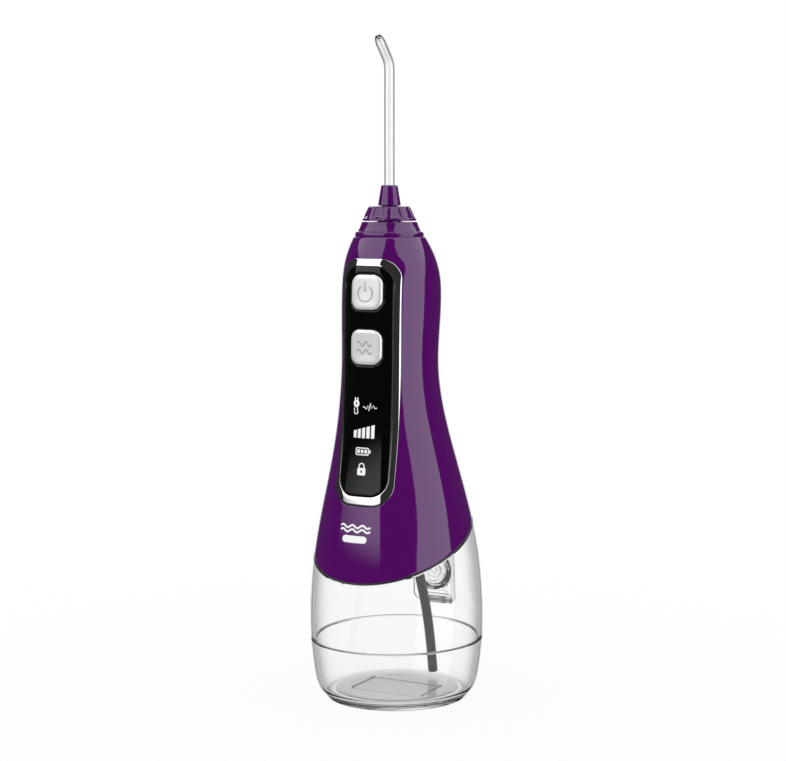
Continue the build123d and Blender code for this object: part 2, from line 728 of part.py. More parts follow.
# ---------------------------------------------------------------- drive
with BuildPart() as motor:
    with BuildSketch(Plane.XZ.offset(-MOTOR_FRONT)):
        with Locations((0, MOTOR_HEIGHT)):
            Circle(MOTOR_RADIUS)
    extrude(amount=-MOTOR_LENGTH)
    chamfer(motor.edges(), 0.6)
    with BuildSketch(Plane.XZ.offset(-MOTOR_FRONT - MOTOR_LENGTH)):
        with Locations((0, MOTOR_HEIGHT)):
            Circle(MOTOR_NOSE_RADIUS)
    extrude(amount=-1.1)
    with BuildSketch(Plane.XZ.offset(-SHAFT_BACK + FIT)):
        with Locations((0, MOTOR_HEIGHT)):
            Circle(SHAFT_RADIUS + FIT)
    extrude(amount=-20, mode=Mode.SUBTRACT)
    with BuildSketch(Plane.XZ.offset(-MOTOR_FRONT - MOTOR_LENGTH)):
        with Locations((-MOTOR_SCREW_X, MOTOR_HEIGHT), (MOTOR_SCREW_X, MOTOR_HEIGHT)):
            Circle(SCREW_RADIUS)
    extrude(amount=2.5, mode=Mode.SUBTRACT)
save(motor.part, "motor")

with BuildPart() as motor_shaft:
    with BuildSketch(Plane.XZ.offset(-SHAFT_BACK)):
        with Locations((0, MOTOR_HEIGHT)):
            Circle(SHAFT_RADIUS)
    extrude(amount=-(GEAR_FRONT + GEAR_THICKNESS + 0.6 - SHAFT_BACK))
save(motor_shaft.part, "motor_shaft")

with BuildPart() as motor_pinion:
    with BuildSketch(Plane.XZ.offset(-GEAR_FRONT + 0.2)):
        with Locations((0, MOTOR_HEIGHT)):
            Polygon(*gear_outline(PINION_TEETH, math.pi / 2 + math.pi / PINION_TEETH), align=None)
            Circle(SHAFT_RADIUS, mode=Mode.SUBTRACT)
    extrude(amount=-GEAR_THICKNESS - 0.4)
save(motor_pinion.part, "motor_pinion")

with BuildPart() as crank_gear:
    with BuildSketch(Plane.XZ.offset(-GEAR_FRONT)):
        with Locations((0, GEAR_HEIGHT)):
            Polygon(*gear_outline(GEAR_TEETH, -math.pi / 2), align=None)
            Circle(AXLE_RADIUS + FIT, mode=Mode.SUBTRACT)
    extrude(amount=-GEAR_THICKNESS)
    with BuildSketch(Plane.XZ.offset(-GEAR_FRONT)):
        with Locations((0, GEAR_HEIGHT)):
            Circle(8.8)
            Circle(3.2, mode=Mode.SUBTRACT)
    extrude(amount=-0.8, mode=Mode.SUBTRACT)
save(crank_gear.part, "crank_gear")

save(rod((0, FRAME_FRONT - 1, GEAR_HEIGHT), (0, GEAR_FRONT + GEAR_THICKNESS, GEAR_HEIGHT), AXLE_RADIUS),
     "gear_axle")

with BuildPart() as pump_frame:
    with BuildSketch(Plane.XZ.offset(-FRAME_FRONT)):
        with Locations((0, (FRAME_BOTTOM + FRAME_TOP) / 2)):
            RectangleRounded(FRAME_WIDTH, FRAME_TOP - FRAME_BOTTOM, 3)
        with Locations((0, MOTOR_HEIGHT)):
            Circle(MOTOR_NOSE_RADIUS + FIT, mode=Mode.SUBTRACT)
        with Locations((-MOTOR_SCREW_X, MOTOR_HEIGHT), (MOTOR_SCREW_X, MOTOR_HEIGHT)):
            Circle(SCREW_RADIUS + FIT, mode=Mode.SUBTRACT)
        with Locations((0, GEAR_HEIGHT)):
            Circle(AXLE_RADIUS, mode=Mode.SUBTRACT)
    extrude(amount=-FRAME_THICKNESS)
    with BuildSketch(Plane.XY.offset(CYLINDER_BOTTOM + 2)):
        with Locations((0, ROD_Y)):
            Circle(CYLINDER_RADIUS + 1.5)
        with Locations((0, (FRAME_FRONT + ROD_Y) / 2)):
            Rectangle(10, ROD_Y - FRAME_FRONT)
        with Locations((0, ROD_Y)):
            Circle(CYLINDER_RADIUS + FIT, mode=Mode.SUBTRACT)
    extrude(amount=2)
    with BuildSketch(Plane.XY.offset(BOSS_TOP)):
        with Locations((-BOSS_X, (BOSS_Y + FRAME_FRONT) / 2), (BOSS_X, (BOSS_Y + FRAME_FRONT) / 2)):
            Rectangle(5, FRAME_FRONT - BOSS_Y + 5)
        with Locations((-BOSS_X, BOSS_Y), (BOSS_X, BOSS_Y)):
            Circle(SCREW_RADIUS + FIT, mode=Mode.SUBTRACT)
    extrude(amount=FRAME_THICKNESS)
save(pump_frame.part, "pump_frame")

with BuildPart() as frame_screws:
    for side in (-1, 1):
        add(screw(Plane(origin=(side * BOSS_X, BOSS_Y, BOSS_TOP + FRAME_THICKNESS)), 5))
save(frame_screws.part, "frame_screws")

with BuildPart() as motor_screws:
    for side in (-1, 1):
        spot = (side * MOTOR_SCREW_X, FRAME_FRONT + FRAME_THICKNESS, MOTOR_HEIGHT)
        add(screw(Plane(origin=spot, z_dir=(0, 1, 0)), 3))
save(motor_screws.part, "motor_screws")


# ---------------------------------------------------------------- pump
with BuildPart() as connecting_rod:
    with BuildSketch(Plane.XZ.offset(-ROD_Y + ROD_THICKNESS / 2)):
        with Locations((0, CRANK_PIN_HEIGHT)):
            Circle(PIN_RADIUS + 1.4)
        with Locations((0, WRIST_HEIGHT)):
            Circle(2.0)
        with Locations((0, (CRANK_PIN_HEIGHT + WRIST_HEIGHT) / 2)):
            Rectangle(2.4, ROD_LENGTH)
        with Locations((0, CRANK_PIN_HEIGHT)):
            Circle(PIN_RADIUS, mode=Mode.SUBTRACT)
        with Locations((0, WRIST_HEIGHT)):
            Circle(WRIST_RADIUS, mode=Mode.SUBTRACT)
    extrude(amount=-ROD_THICKNESS)
save(connecting_rod.part, "connecting_rod")

save(rod((0, GEAR_FRONT + GEAR_THICKNESS + 0.3, CRANK_PIN_HEIGHT),
         (0, ROD_Y + ROD_THICKNESS / 2 + 0.4, CRANK_PIN_HEIGHT), PIN_RADIUS), "crank_pin")
save(rod((0, ROD_Y - PISTON_RADIUS + 0.5, WRIST_HEIGHT), (0, ROD_Y + PISTON_RADIUS - 0.5, WRIST_HEIGHT),
         WRIST_RADIUS), "wrist_pin")

with BuildPart() as piston:
    with BuildSketch(Plane.XY.offset(WRIST_HEIGHT - 3)):
        with Locations((0, ROD_Y)):
            Circle(PISTON_RADIUS)
    extrude(amount=PISTON_LENGTH)
    with BuildSketch(Plane.XY.offset(WRIST_HEIGHT - 3)):
        with Locations((0, ROD_Y)):
            Rectangle(2 * PISTON_RADIUS + 1, ROD_THICKNESS + 0.2)
    extrude(amount=5.4, mode=Mode.SUBTRACT)
    with BuildSketch(Plane.XZ):
        with Locations((0, WRIST_HEIGHT)):
            Circle(WRIST_RADIUS)
    extrude(amount=-30, mode=Mode.SUBTRACT)
    with BuildSketch(Plane.XY.offset(WRIST_HEIGHT - 3 + PISTON_LENGTH - 2.2)):
        with Locations((0, ROD_Y)):
            Circle(PISTON_RADIUS + 1)
            Circle(PISTON_RADIUS - 0.8, mode=Mode.SUBTRACT)
    extrude(amount=1.4, mode=Mode.SUBTRACT)
save(piston.part, "piston")

with BuildPart() as piston_seal:
    with BuildSketch(Plane.XY.offset(WRIST_HEIGHT - 3 + PISTON_LENGTH - 2.2)):
        with Locations((0, ROD_Y)):
            Circle(PISTON_RADIUS + FIT)
            Circle(PISTON_RADIUS - 0.8, mode=Mode.SUBTRACT)
    extrude(amount=1.4)
save(piston_seal.part, "piston_seal")

with BuildPart() as pump_cylinder:
    with BuildSketch(Plane.XY.offset(CYLINDER_BOTTOM)):
        with Locations((0, ROD_Y)):
            Circle(CYLINDER_RADIUS)
    extrude(amount=CYLINDER_TOP - CYLINDER_BOTTOM)
    with BuildSketch(Plane.XY.offset(CYLINDER_TOP - 1.5)):
        with Locations((0, ROD_Y)):
            Circle(HEAD_RADIUS)
    extrude(amount=1.5)
    with BuildSketch(Plane.XY.offset(CYLINDER_BOTTOM)):
        with Locations((0, ROD_Y)):
            Circle(PISTON_RADIUS + 0.1)
    extrude(amount=CYLINDER_TOP - CYLINDER_BOTTOM, mode=Mode.SUBTRACT)
save(pump_cylinder.part, "pump_cylinder")

with BuildPart() as pump_head:
    with BuildSketch(Plane.XY.offset(CYLINDER_TOP)):
        with Locations((0, ROD_Y)):
            Circle(HEAD_RADIUS)
    extrude(amount=HEAD_TOP - CYLINDER_TOP)
    with BuildSketch(Plane.XY.offset(HEAD_TOP)):
        with Locations((0, OUTLET_Y)):
            Circle(HOSE_BORE - FIT)
    extrude(amount=3.5)
    with BuildSketch(Plane.YZ.offset(3)):
        with Locations((INLET_Y, INLET_HEIGHT)):
            Circle(HOSE_BORE - FIT)
    extrude(amount=INLET_BARB_END - 3)
    with BuildSketch(Plane.XY.offset(CYLINDER_TOP)):
        with Locations((VALVE_X, ROD_Y), (-VALVE_X, ROD_Y)):
            Circle(VALVE_RADIUS + FIT)
    extrude(amount=VALVE_THICKNESS + FIT, mode=Mode.SUBTRACT)
    with BuildSketch(Plane.XY.offset(CYLINDER_TOP)):
        with Locations((0, OUTLET_Y)):
            Circle(0.6)
    extrude(amount=12, mode=Mode.SUBTRACT)
    with BuildSketch(Plane.XY.offset(HEAD_TOP)):
        with Locations(*SCREW_SPOTS):
            Circle(SCREW_RADIUS)
    extrude(amount=HEAD_TOP_SCREW - HEAD_TOP, mode=Mode.SUBTRACT)
save(pump_head.part, "pump_head")

for side, valve_name in ((1, "inlet_valve"), (-1, "outlet_valve")):
    valve_x = side * VALVE_X
    disc_bottom = (valve_x, ROD_Y, CYLINDER_TOP + FIT)
    disc_top = (valve_x, ROD_Y, CYLINDER_TOP + VALVE_THICKNESS)
    save(rod(disc_bottom, disc_top, VALVE_RADIUS), valve_name)

with BuildPart() as pump_screws:
    for x, y in SCREW_SPOTS:
        add(screw(Plane(origin=(x, y, HEAD_TOP)), HEAD_TOP - HEAD_TOP_SCREW))
save(pump_screws.part, "pump_screws")

save(hose(INLET_ROUTE, HOSE_RADIUS - 0.1, HOSE_BORE), "inlet_hose")
save(hose(OUTLET_ROUTE, HOSE_RADIUS + 0.2, HOSE_BORE), "outlet_hose")


# ---------------------------------------------------------------- head
with BuildPart() as nozzle_seat:
    with BuildSketch(Plane.XY.offset(SEAT_BOTTOM)):
        Circle(SEAT_OUTER)
    extrude(amount=SEAT_TOP - SEAT_BOTTOM)
    with BuildSketch(Plane.XY.offset(ROOF_HEIGHT - 2.1)):
        Circle(SEAT_FLANGE)
    extrude(amount=2)
    with BuildSketch(Plane.XZ.offset(-SEAT_OUTER + 1)):
        with Locations((0, SEAT_PORT_HEIGHT)):
            Circle(HOSE_BORE - FIT)
    extrude(amount=-SEAT_BARB - 1)
    with BuildSketch(Plane.XY.offset(STEM_BOTTOM - 0.5)):
        Circle(SEAT_RADIUS)
    extrude(amount=SEAT_TOP - STEM_BOTTOM + 0.5, mode=Mode.SUBTRACT)
    with BuildSketch(Plane.XZ):
        with Locations((0, SEAT_PORT_HEIGHT)):
            Circle(0.6)
    extrude(amount=-20, mode=Mode.SUBTRACT)
    with BuildSketch(Plane.XY.offset(SEAT_PORT_HEIGHT)):
        Circle(0.6)
    extrude(amount=10, mode=Mode.SUBTRACT)
save(nozzle_seat.part, "nozzle_seat")

with BuildPart() as top_ring:
    with BuildSketch(Plane.XZ):
        with BuildLine():
            Polyline((SEAT_OUTER + FIT, SHOULDER_HEIGHT), (COLLAR_FOOT, SHOULDER_HEIGHT),
                     (COLLAR_FOOT + 0.3, COLLAR_PROFILE[0][1]), COLLAR_PROFILE[0])
            Polyline(*COLLAR_PROFILE)
            Polyline(COLLAR_PROFILE[-1], (SEAT_OUTER + FIT, COLLAR_PROFILE[-1][1]),
                     (SEAT_OUTER + FIT, SHOULDER_HEIGHT))
        make_face()
    revolve(axis=Axis.Z)
    fillet(top_ring.edges().group_by(Axis.Z)[2:-1], 0.25)
save(top_ring.part, "top_ring")

flute_bottom = (KNOB_RADIUS + FLUTE_OUT, 0, KNOB_BOTTOM + 1.2)
flute_top = (KNOB_NECK + FLUTE_OUT - 0.5, 0, KNOB_TOP + 1.5)
flute = rod(flute_bottom, flute_top, FLUTE_RADIUS)
with BuildPart() as rotation_knob:
    with BuildSketch(Plane.XZ):
        with BuildLine():
            Polyline((SHANK_RADIUS + FIT, STEM_BOTTOM), (SEAT_RADIUS - FIT, STEM_BOTTOM),
                     (SEAT_RADIUS - FIT, KNOB_BOTTOM), (KNOB_RADIUS, KNOB_BOTTOM),
                     (KNOB_RADIUS, KNOB_BOTTOM + 0.8),
                     (KNOB_RADIUS - 0.5, KNOB_BOTTOM + 1.1), (9.4, KNOB_TOP - 1.3), (KNOB_NECK, KNOB_TOP),
                     (SHANK_RADIUS + FIT, KNOB_TOP), (SHANK_RADIUS + FIT, STEM_BOTTOM))
        make_face()
    revolve(axis=Axis.Z)
    with PolarLocations(0, FLUTES):
        add(flute, mode=Mode.SUBTRACT)
    with BuildSketch(Plane.XY.offset(KNOB_RING_HEIGHT - 0.7)):
        Circle(SEAT_RADIUS + 1)
        Circle(SEAT_RADIUS - 1.0, mode=Mode.SUBTRACT)
    extrude(amount=1.4, mode=Mode.SUBTRACT)
save(rotation_knob.part, "rotation_knob")

with BuildPart() as knob_o_ring:
    with BuildSketch(Plane.XZ):
        with Locations((SEAT_RADIUS - 0.53, KNOB_RING_HEIGHT)):
            Circle(0.46)
    revolve(axis=Axis.Z)
save(knob_o_ring.part, "knob_o_ring")

with BuildPart() as tip_hub:
    with BuildSketch(Plane.XZ):
        with BuildLine():
            Polyline((TUBE_RADIUS, SHANK_BOTTOM), (SHANK_RADIUS, SHANK_BOTTOM), (SHANK_RADIUS, HUB_BOTTOM),
                     (4.7, HUB_BOTTOM), (4.6, HUB_BOTTOM + 0.8), (3.5, HUB_TOP - 0.4), (3.2, HUB_TOP),
                     (TUBE_RADIUS, HUB_TOP), (TUBE_RADIUS, SHANK_BOTTOM))
        make_face()
    revolve(axis=Axis.Z)
    with BuildSketch(Plane.XY.offset(TIP_RING_HEIGHT - 0.5)):
        Circle(SHANK_RADIUS + 1)
        Circle(SHANK_RADIUS - 0.5, mode=Mode.SUBTRACT)
    extrude(amount=1.0, mode=Mode.SUBTRACT)
save(tip_hub.part, "tip_hub")

with BuildPart() as tip_o_ring:
    with BuildSketch(Plane.XZ):
        with Locations((SHANK_RADIUS - 0.2, TIP_RING_HEIGHT)):
            Circle(0.23)
    revolve(axis=Axis.Z)
save(tip_o_ring.part, "tip_o_ring")

bend = Vector(0, 0, BEND_HEIGHT)
tip_end = Vector(0, *TIP_END)
nose_axis = (tip_end - bend).normalized()
nose_start = tip_end - nose_axis * NOSE_LENGTH
with BuildPart() as tube_skin:
    with BuildLine() as skin_path:
        FilletPolyline((0, 0, SHANK_BOTTOM), bend, nose_start, radius=BEND_RADIUS)
    with BuildSketch(Plane.XY.offset(SHANK_BOTTOM)):
        Circle(TUBE_RADIUS)
    sweep(path=skin_path.line)
    with BuildSketch(Plane(origin=nose_start, z_dir=nose_axis)):
        Circle(TUBE_RADIUS)
    with BuildSketch(Plane(origin=tip_end, z_dir=nose_axis)):
        Circle(NOSE_RADIUS)
    loft()
with BuildPart() as tube_bore:
    with BuildLine() as bore_path:
        FilletPolyline((0, 0, SHANK_BOTTOM), bend, tip_end, radius=BEND_RADIUS)
    with BuildSketch(Plane.XY.offset(SHANK_BOTTOM)):
        Circle(TUBE_BORE)
    sweep(path=bore_path.line)
with BuildPart() as jet_tip:
    add(tube_skin.part)
    add(tube_bore.part, mode=Mode.SUBTRACT)
save(jet_tip.part, "jet_tip")
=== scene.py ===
"""A cordless water flosser in a white room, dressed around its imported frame.

The frame gives the bodies, the joints and the inner parts.  The visible shells are made here as surfaces worked
out with numpy, in millimetres, and scaled to metres as they become meshes.
"""

import json
import logging
import math
from dataclasses import dataclass, field
from enum import Enum

import bpy
import numpy as np
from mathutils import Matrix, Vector
from mathutils.geometry import delaunay_2d_cdt


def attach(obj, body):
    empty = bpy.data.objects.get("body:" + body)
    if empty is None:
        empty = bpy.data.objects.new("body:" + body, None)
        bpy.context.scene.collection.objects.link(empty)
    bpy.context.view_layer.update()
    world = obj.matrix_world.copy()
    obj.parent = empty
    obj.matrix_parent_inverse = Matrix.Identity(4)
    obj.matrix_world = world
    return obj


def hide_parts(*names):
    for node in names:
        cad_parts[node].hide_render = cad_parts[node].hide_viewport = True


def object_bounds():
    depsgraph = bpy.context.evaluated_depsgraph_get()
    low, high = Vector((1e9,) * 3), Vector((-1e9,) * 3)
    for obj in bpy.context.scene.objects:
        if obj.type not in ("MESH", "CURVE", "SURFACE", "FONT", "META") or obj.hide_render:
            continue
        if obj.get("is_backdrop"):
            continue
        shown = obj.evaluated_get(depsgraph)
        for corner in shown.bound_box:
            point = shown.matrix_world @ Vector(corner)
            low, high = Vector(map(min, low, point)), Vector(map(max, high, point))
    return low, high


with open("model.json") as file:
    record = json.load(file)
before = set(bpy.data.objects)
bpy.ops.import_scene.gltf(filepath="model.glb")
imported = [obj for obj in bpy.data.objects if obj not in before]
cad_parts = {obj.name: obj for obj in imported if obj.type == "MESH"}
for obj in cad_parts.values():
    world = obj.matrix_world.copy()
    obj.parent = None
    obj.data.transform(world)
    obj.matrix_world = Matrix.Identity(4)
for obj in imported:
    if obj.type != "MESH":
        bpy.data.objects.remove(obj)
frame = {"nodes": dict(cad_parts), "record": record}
CAD_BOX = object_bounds()

MM = 0.001
FILL_HEIGHT = 47.0
FILL_RADIUS = 7.25
HINGE_Y, HINGE_Z, HINGE_RADIUS, HINGE_END = 46.1, 33.0, 1.5, 1.35
PORT_HINGE_Y, PORT_HINGE_Z, PORT_HINGE_RADIUS, PORT_HINGE_END = 27.3, 117.0, 0.68, 0.55
PIN_CHAMFER = 0.15
log = logging.getLogger("flosser")


# ---------------------------------------------------------------- form and mesh helpers
def smooth_step(value: np.ndarray, start: float, end: float) -> np.ndarray:
    """A smooth rise from 0 at start to 1 at end.

    Args:
        value: where to read the rise.
        start: the value where it is still 0.
        end: the value where it has reached 1.

    Returns:
        3t^2 - 2t^3 of the clamped fraction t.
    """
    t = np.clip((value - start) / (end - start), 0.0, 1.0)
    return t * t * (3.0 - 2.0 * t)


@dataclass(frozen=True)
class OuterForm:
    """The outer form that tank and handle share: ellipses whose sizes run smoothly with height.

    Each station is (height, half width in X, half depth in Y, centre in Y), in millimetres.
    """

    stations: tuple = (
        (0.0, 29.9, 30.9, 6.6), (4.0, 32.7, 34.3, 6.6), (11.0, 34.7, 36.8, 6.6), (28.0, 36.2, 38.7, 6.6),
        (45.0, 36.0, 38.2, 6.4), (62.0, 34.3, 36.5, 6.3), (78.0, 31.4, 33.4, 5.8), (94.0, 27.7, 29.6, 4.8),
        (110.0, 24.1, 25.8, 3.2), (126.0, 21.3, 22.9, 1.4), (142.0, 20.0, 21.6, 0.6), (158.0, 20.3, 22.0, 1.3),
        (170.0, 20.5, 22.2, 1.9), (180.0, 19.8, 21.4, 1.7), (190.0, 16.9, 18.0, 0.6), (194.5, 14.9, 15.0, 0.0),
    )
    split_height: float = 67.4
    split_angle: float = 23.1

    def __post_init__(self) -> None:
        """Works out the natural cubic spline's second derivatives at the stations."""
        table = np.array(self.stations)
        heights, values = table[:, 0], table[:, 1:]
        step = np.diff(heights)
        count = len(heights)
        system = np.eye(count)
        right = np.zeros_like(values)
        inner = np.arange(1, count - 1)
        system[inner, inner - 1] = step[:-1]
        system[inner, inner] = 2.0 * (step[:-1] + step[1:])
        system[inner, inner + 1] = step[1:]
        slope = np.diff(values, axis=0) / step[:, None]
        right[1:-1] = 6.0 * np.diff(slope, axis=0)
        object.__setattr__(self, "_heights", heights)
        object.__setattr__(self, "_values", values)
        object.__setattr__(self, "_curve", np.linalg.solve(system, right))

    def section(self, height: np.ndarray) -> tuple:
        """The ellipse at a height.

        Args:
            height: heights in millimetres, of any shape.

        Returns:
            Half width, half depth and centre Y, each shaped like height.
        """
        height = np.clip(np.asarray(height, float), self._heights[0], self._heights[-1])
        low = np.clip(np.searchsorted(self._heights, height) - 1, 0, len(self._heights) - 2)
        step = (self._heights[low + 1] - self._heights[low])[..., None]
        b = (height - self._heights[low])[..., None] / step
        a = 1.0 - b
        value = a * self._values[low] + b * self._values[low + 1]
        bend = (a**3 - a) * self._curve[low] + (b**3 - b) * self._curve[low + 1]
        value = value + bend * step**2 / 6.0
        return value[..., 0], value[..., 1], value[..., 2]

    def point(self, angle: np.ndarray, height: np.ndarray, inset: np.ndarray) -> np.ndarray:
        """Points of the form drawn in by an inset: x = (a - i) cos t, y = c + (b - i) sin t.

        Args:
            angle: the ellipse's parameter, 0 at +X and a quarter turn at +Y.
            height: heights in millimetres.
            inset: how far inside the outer form, in millimetres.

        Returns:
            An array with a last axis of x, y, z.
        """
        angle, height, inset = np.broadcast_arrays(angle, height, inset)
        half_width, half_depth, centre = self.section(height)
        x = (half_width - inset) * np.cos(angle)
        y = centre + (half_depth - inset) * np.sin(angle)
        return np.stack([x, y, height], -1)

    def split(self, angle: np.ndarray, inset: np.ndarray, lift: float = 0.0) -> np.ndarray:
        """The height where the form crosses the slanted plane between handle and tank.

        Args:
            angle: the ellipse's parameter.
            inset: how far inside the outer form.
            lift: how far the plane is moved along its normal.

        Returns:
            Heights, found by repeating z = z0 + tan(slant) y(z) until it settles.
        """
        slant = math.radians(self.split_angle)
        height = np.full(np.shape(angle), self.split_height)
        for _ in range(12):
            y = self.point(angle, height, inset)[..., 1]
            height = self.split_height + lift / math.cos(slant) + math.tan(slant) * y
        return height

    def wall_y(self, x: np.ndarray, height: np.ndarray, proud: np.ndarray, back: bool = False) -> np.ndarray:
        """The Y of the front or back wall over a point of the XZ plane.

        Args:
            x: across, in millimetres.
            height: heights in millimetres.
            proud: how far outside the outer form.
            back: whether the back wall is meant.

        Returns:
            Y of the ellipse grown by proud.
        """
        half_width, half_depth, centre = self.section(height)
        rise = np.sqrt(np.clip(1.0 - (x / (half_width + proud)) ** 2, 0.0, 1.0))
        return centre + (1.0 if back else -1.0) * (half_depth + proud) * rise


FORM = OuterForm()


def new_object(name: str, points: np.ndarray, faces: list, smooth: bool = True) -> bpy.types.Object:
    """Makes a mesh object from points in millimetres.

    Args:
        name: the piece's name.
        points: an (n, 3) array in millimetres.
        faces: index tuples or an integer array of triangles or quads.
        smooth: whether its faces are shaded smooth.

    Returns:
        The object, linked to the scene.
    """
    mesh = bpy.data.meshes.new(name)
    spots = (np.asarray(points).reshape(-1, 3) * MM).tolist()
    mesh.from_pydata(spots, [], [tuple(f) for f in np.asarray(faces).tolist()]
                     if isinstance(faces, np.ndarray) else faces)
    mesh.polygons.foreach_set("use_smooth", np.full(len(mesh.polygons), smooth))
    mesh.update()
    piece = bpy.data.objects.new(name, mesh)
    bpy.context.scene.collection.objects.link(piece)
    return piece


def grid_faces(rows: int, columns: int, wrap_rows: bool, wrap_columns: bool, start: int = 0) -> np.ndarray:
    """Quads of a grid of points stored row by row.

    Args:
        rows: number of rows.
        columns: number of points in a row.
        wrap_rows: whether the last row joins the first.
        wrap_columns: whether each row closes on itself.
        start: the index of the grid's first point.

    Returns:
        An (n, 4) array of indices.
    """
    row = np.arange(rows if wrap_rows else rows - 1)[:, None]
    column = np.arange(columns if wrap_columns else columns - 1)[None, :]
    next_row = (row + 1) % rows
    next_column = (column + 1) % columns
    quad = np.stack([row * columns + column, row * columns + next_column,
                     next_row * columns + next_column, next_row * columns + column], -1)
    return quad.reshape(-1, 4) + start


def grid_object(name: str, points: np.ndarray, wrap_rows: bool = False, wrap_columns: bool = True,
                cap_first: bool = False, cap_last: bool = False) -> bpy.types.Object:
    """Makes an object from a grid of points, turned so that its faces point outwards.

    Args:
        name: the piece's name.
        points: a (rows, columns, 3) array in millimetres.
        wrap_rows: whether the last row joins the first.
        wrap_columns: whether each row closes on itself.
        cap_first: whether the first row is closed with a fan about its middle.
        cap_last: whether the last row is closed so.

    Returns:
        The closed object.
    """
    rows, columns = points.shape[:2]
    faces = grid_faces(rows, columns, wrap_rows, wrap_columns)[:, ::-1].tolist()
    flat = points.reshape(-1, 3)
    ring = np.arange(columns)
    for wanted, row, turn in ((cap_first, 0, 1), (cap_last, rows - 1, -1)):
        if not wanted:
            continue
        middle = len(flat)
        flat = np.vstack([flat, points[row].mean(0)])
        first, second = row * columns + ring, row * columns + (ring + 1) % columns
        fan = np.stack([np.full(columns, middle), first, second], -1)[:, ::turn]
        faces += fan.tolist()
    piece = new_object(name, flat, faces)
    face_out(piece)
    return piece


def face_out(piece: bpy.types.Object) -> None:
    """Turns a closed mesh inside out if its signed volume is negative."""
    mesh = piece.data
    mesh.calc_loop_triangles()
    corners = np.zeros(len(mesh.loop_triangles) * 3, np.int32)
    mesh.loop_triangles.foreach_get("vertices", corners)
    points = np.zeros(len(mesh.vertices) * 3, np.float32)
    mesh.vertices.foreach_get("co", points)
    a, b, c = points.reshape(-1, 3)[corners.reshape(-1, 3)].transpose(1, 0, 2).astype(float)
    if np.einsum("ij,ij->i", a, np.cross(b, c)).sum() < 0:
        mesh.flip_normals()


def lathe(name: str, profile: np.ndarray, columns: int = 128) -> bpy.types.Object:
    """Turns a closed profile of (radius, height) points about Z.

    Args:
        name: the piece's name.
        profile: the closed outline, in millimetres.
        columns: points around.

    Returns:
        The closed ring.
    """
    angle = np.linspace(0.0, 2.0 * np.pi, columns, endpoint=False)
    radius, height = np.asarray(profile, float).T
    points = np.stack(np.broadcast_arrays(radius[:, None] * np.cos(angle), radius[:, None] * np.sin(angle),
                                          height[:, None]), -1)
    return grid_object(name, points, wrap_rows=True)


def rounded_profile(corners: list, steps: int = 6) -> np.ndarray:
    """A closed outline with its corners rounded by quadratic arcs.

    Args:
        corners: (x, y, radius) of each corner, in order.
        steps: points along each rounded corner.

    Returns:
        An (n, 2) array of the outline's points.
    """
    table = np.array(corners, float)
    spot, radius = table[:, :2], table[:, 2]
    to_last, to_next = np.roll(spot, 1, 0) - spot, np.roll(spot, -1, 0) - spot
    length_last = np.linalg.norm(to_last, axis=1)
    length_next = np.linalg.norm(to_next, axis=1)
    reach = np.minimum(radius, 0.48 * np.minimum(length_last, length_next))[:, None]
    first = spot + to_last / length_last[:, None] * reach
    last = spot + to_next / length_next[:, None] * reach
    t = np.linspace(0.0, 1.0, steps)[None, :, None]
    arc = (1 - t) ** 2 * first[:, None] + 2 * t * (1 - t) * spot[:, None] + t**2 * last[:, None]
    return arc.reshape(-1, 2)


@dataclass(frozen=True)
class RoundedPanel:
    """A rounded rectangle in the XZ plane, laid on the front or the back wall."""

    width: float
    low: float
    high: float
    corner: float
    back: bool = False

    def outline(self, count: int, draw_in: float = 0.0) -> np.ndarray:
        """Points around the outline, evenly spread over the undrawn one.

        Args:
            count: how many points.
            draw_in: how far inside the outline they lie.

        Returns:
            A (count, 2) array of x and z.
        """
        corner = self.corner
        half = np.array([self.width / 2, (self.high - self.low) / 2]) - corner
        lengths = np.array([2 * half[1], np.pi * corner / 2, 2 * half[0], np.pi * corner / 2] * 2)
        ends = np.cumsum(lengths)
        s = np.linspace(0.0, ends[-1], count, endpoint=False)
        side = np.searchsorted(ends, s, side="right")
        along = (s - (ends - lengths)[side]) / lengths[side]
        quarter = side // 2
        turn = np.where(side % 2 == 0, quarter, quarter + along) * np.pi / 2
        signs = np.array([(1, -1), (1, 1), (-1, 1), (-1, -1), (1, -1)], float)
        base = signs[np.where(side % 2 == 1, quarter + 1, quarter)] * half
        goal = signs[quarter + 1] * half
        centre = np.where((side % 2 == 0)[:, None], base + (goal - base) * along[:, None], base)
        reach = corner - draw_in
        x = centre[:, 0] + reach * np.cos(turn)
        z = centre[:, 1] + reach * np.sin(turn) + (self.low + self.high) / 2
        return np.stack([x, z], -1)

    def distance(self, x: np.ndarray, z: np.ndarray) -> np.ndarray:
        """The signed distance to the outline, negative inside."""
        qx = np.abs(x) - self.width / 2 + self.corner
        qz = np.abs(z - (self.low + self.high) / 2) - (self.high - self.low) / 2 + self.corner
        outside = np.hypot(np.maximum(qx, 0), np.maximum(qz, 0))
        return outside + np.minimum(np.maximum(qx, qz), 0) - self.corner

    def place(self, flat: np.ndarray, proud: np.ndarray) -> np.ndarray:
        """Lays (x, z) points on the wall, a little proud of it.

        Args:
            flat: an (..., 2) array of x and z.
            proud: how far outside the outer form.

        Returns:
            An (..., 3) array of points.
        """
        x, z = flat[..., 0], flat[..., 1]
        return np.stack([x, FORM.wall_y(x, z, proud, self.back), z], -1)


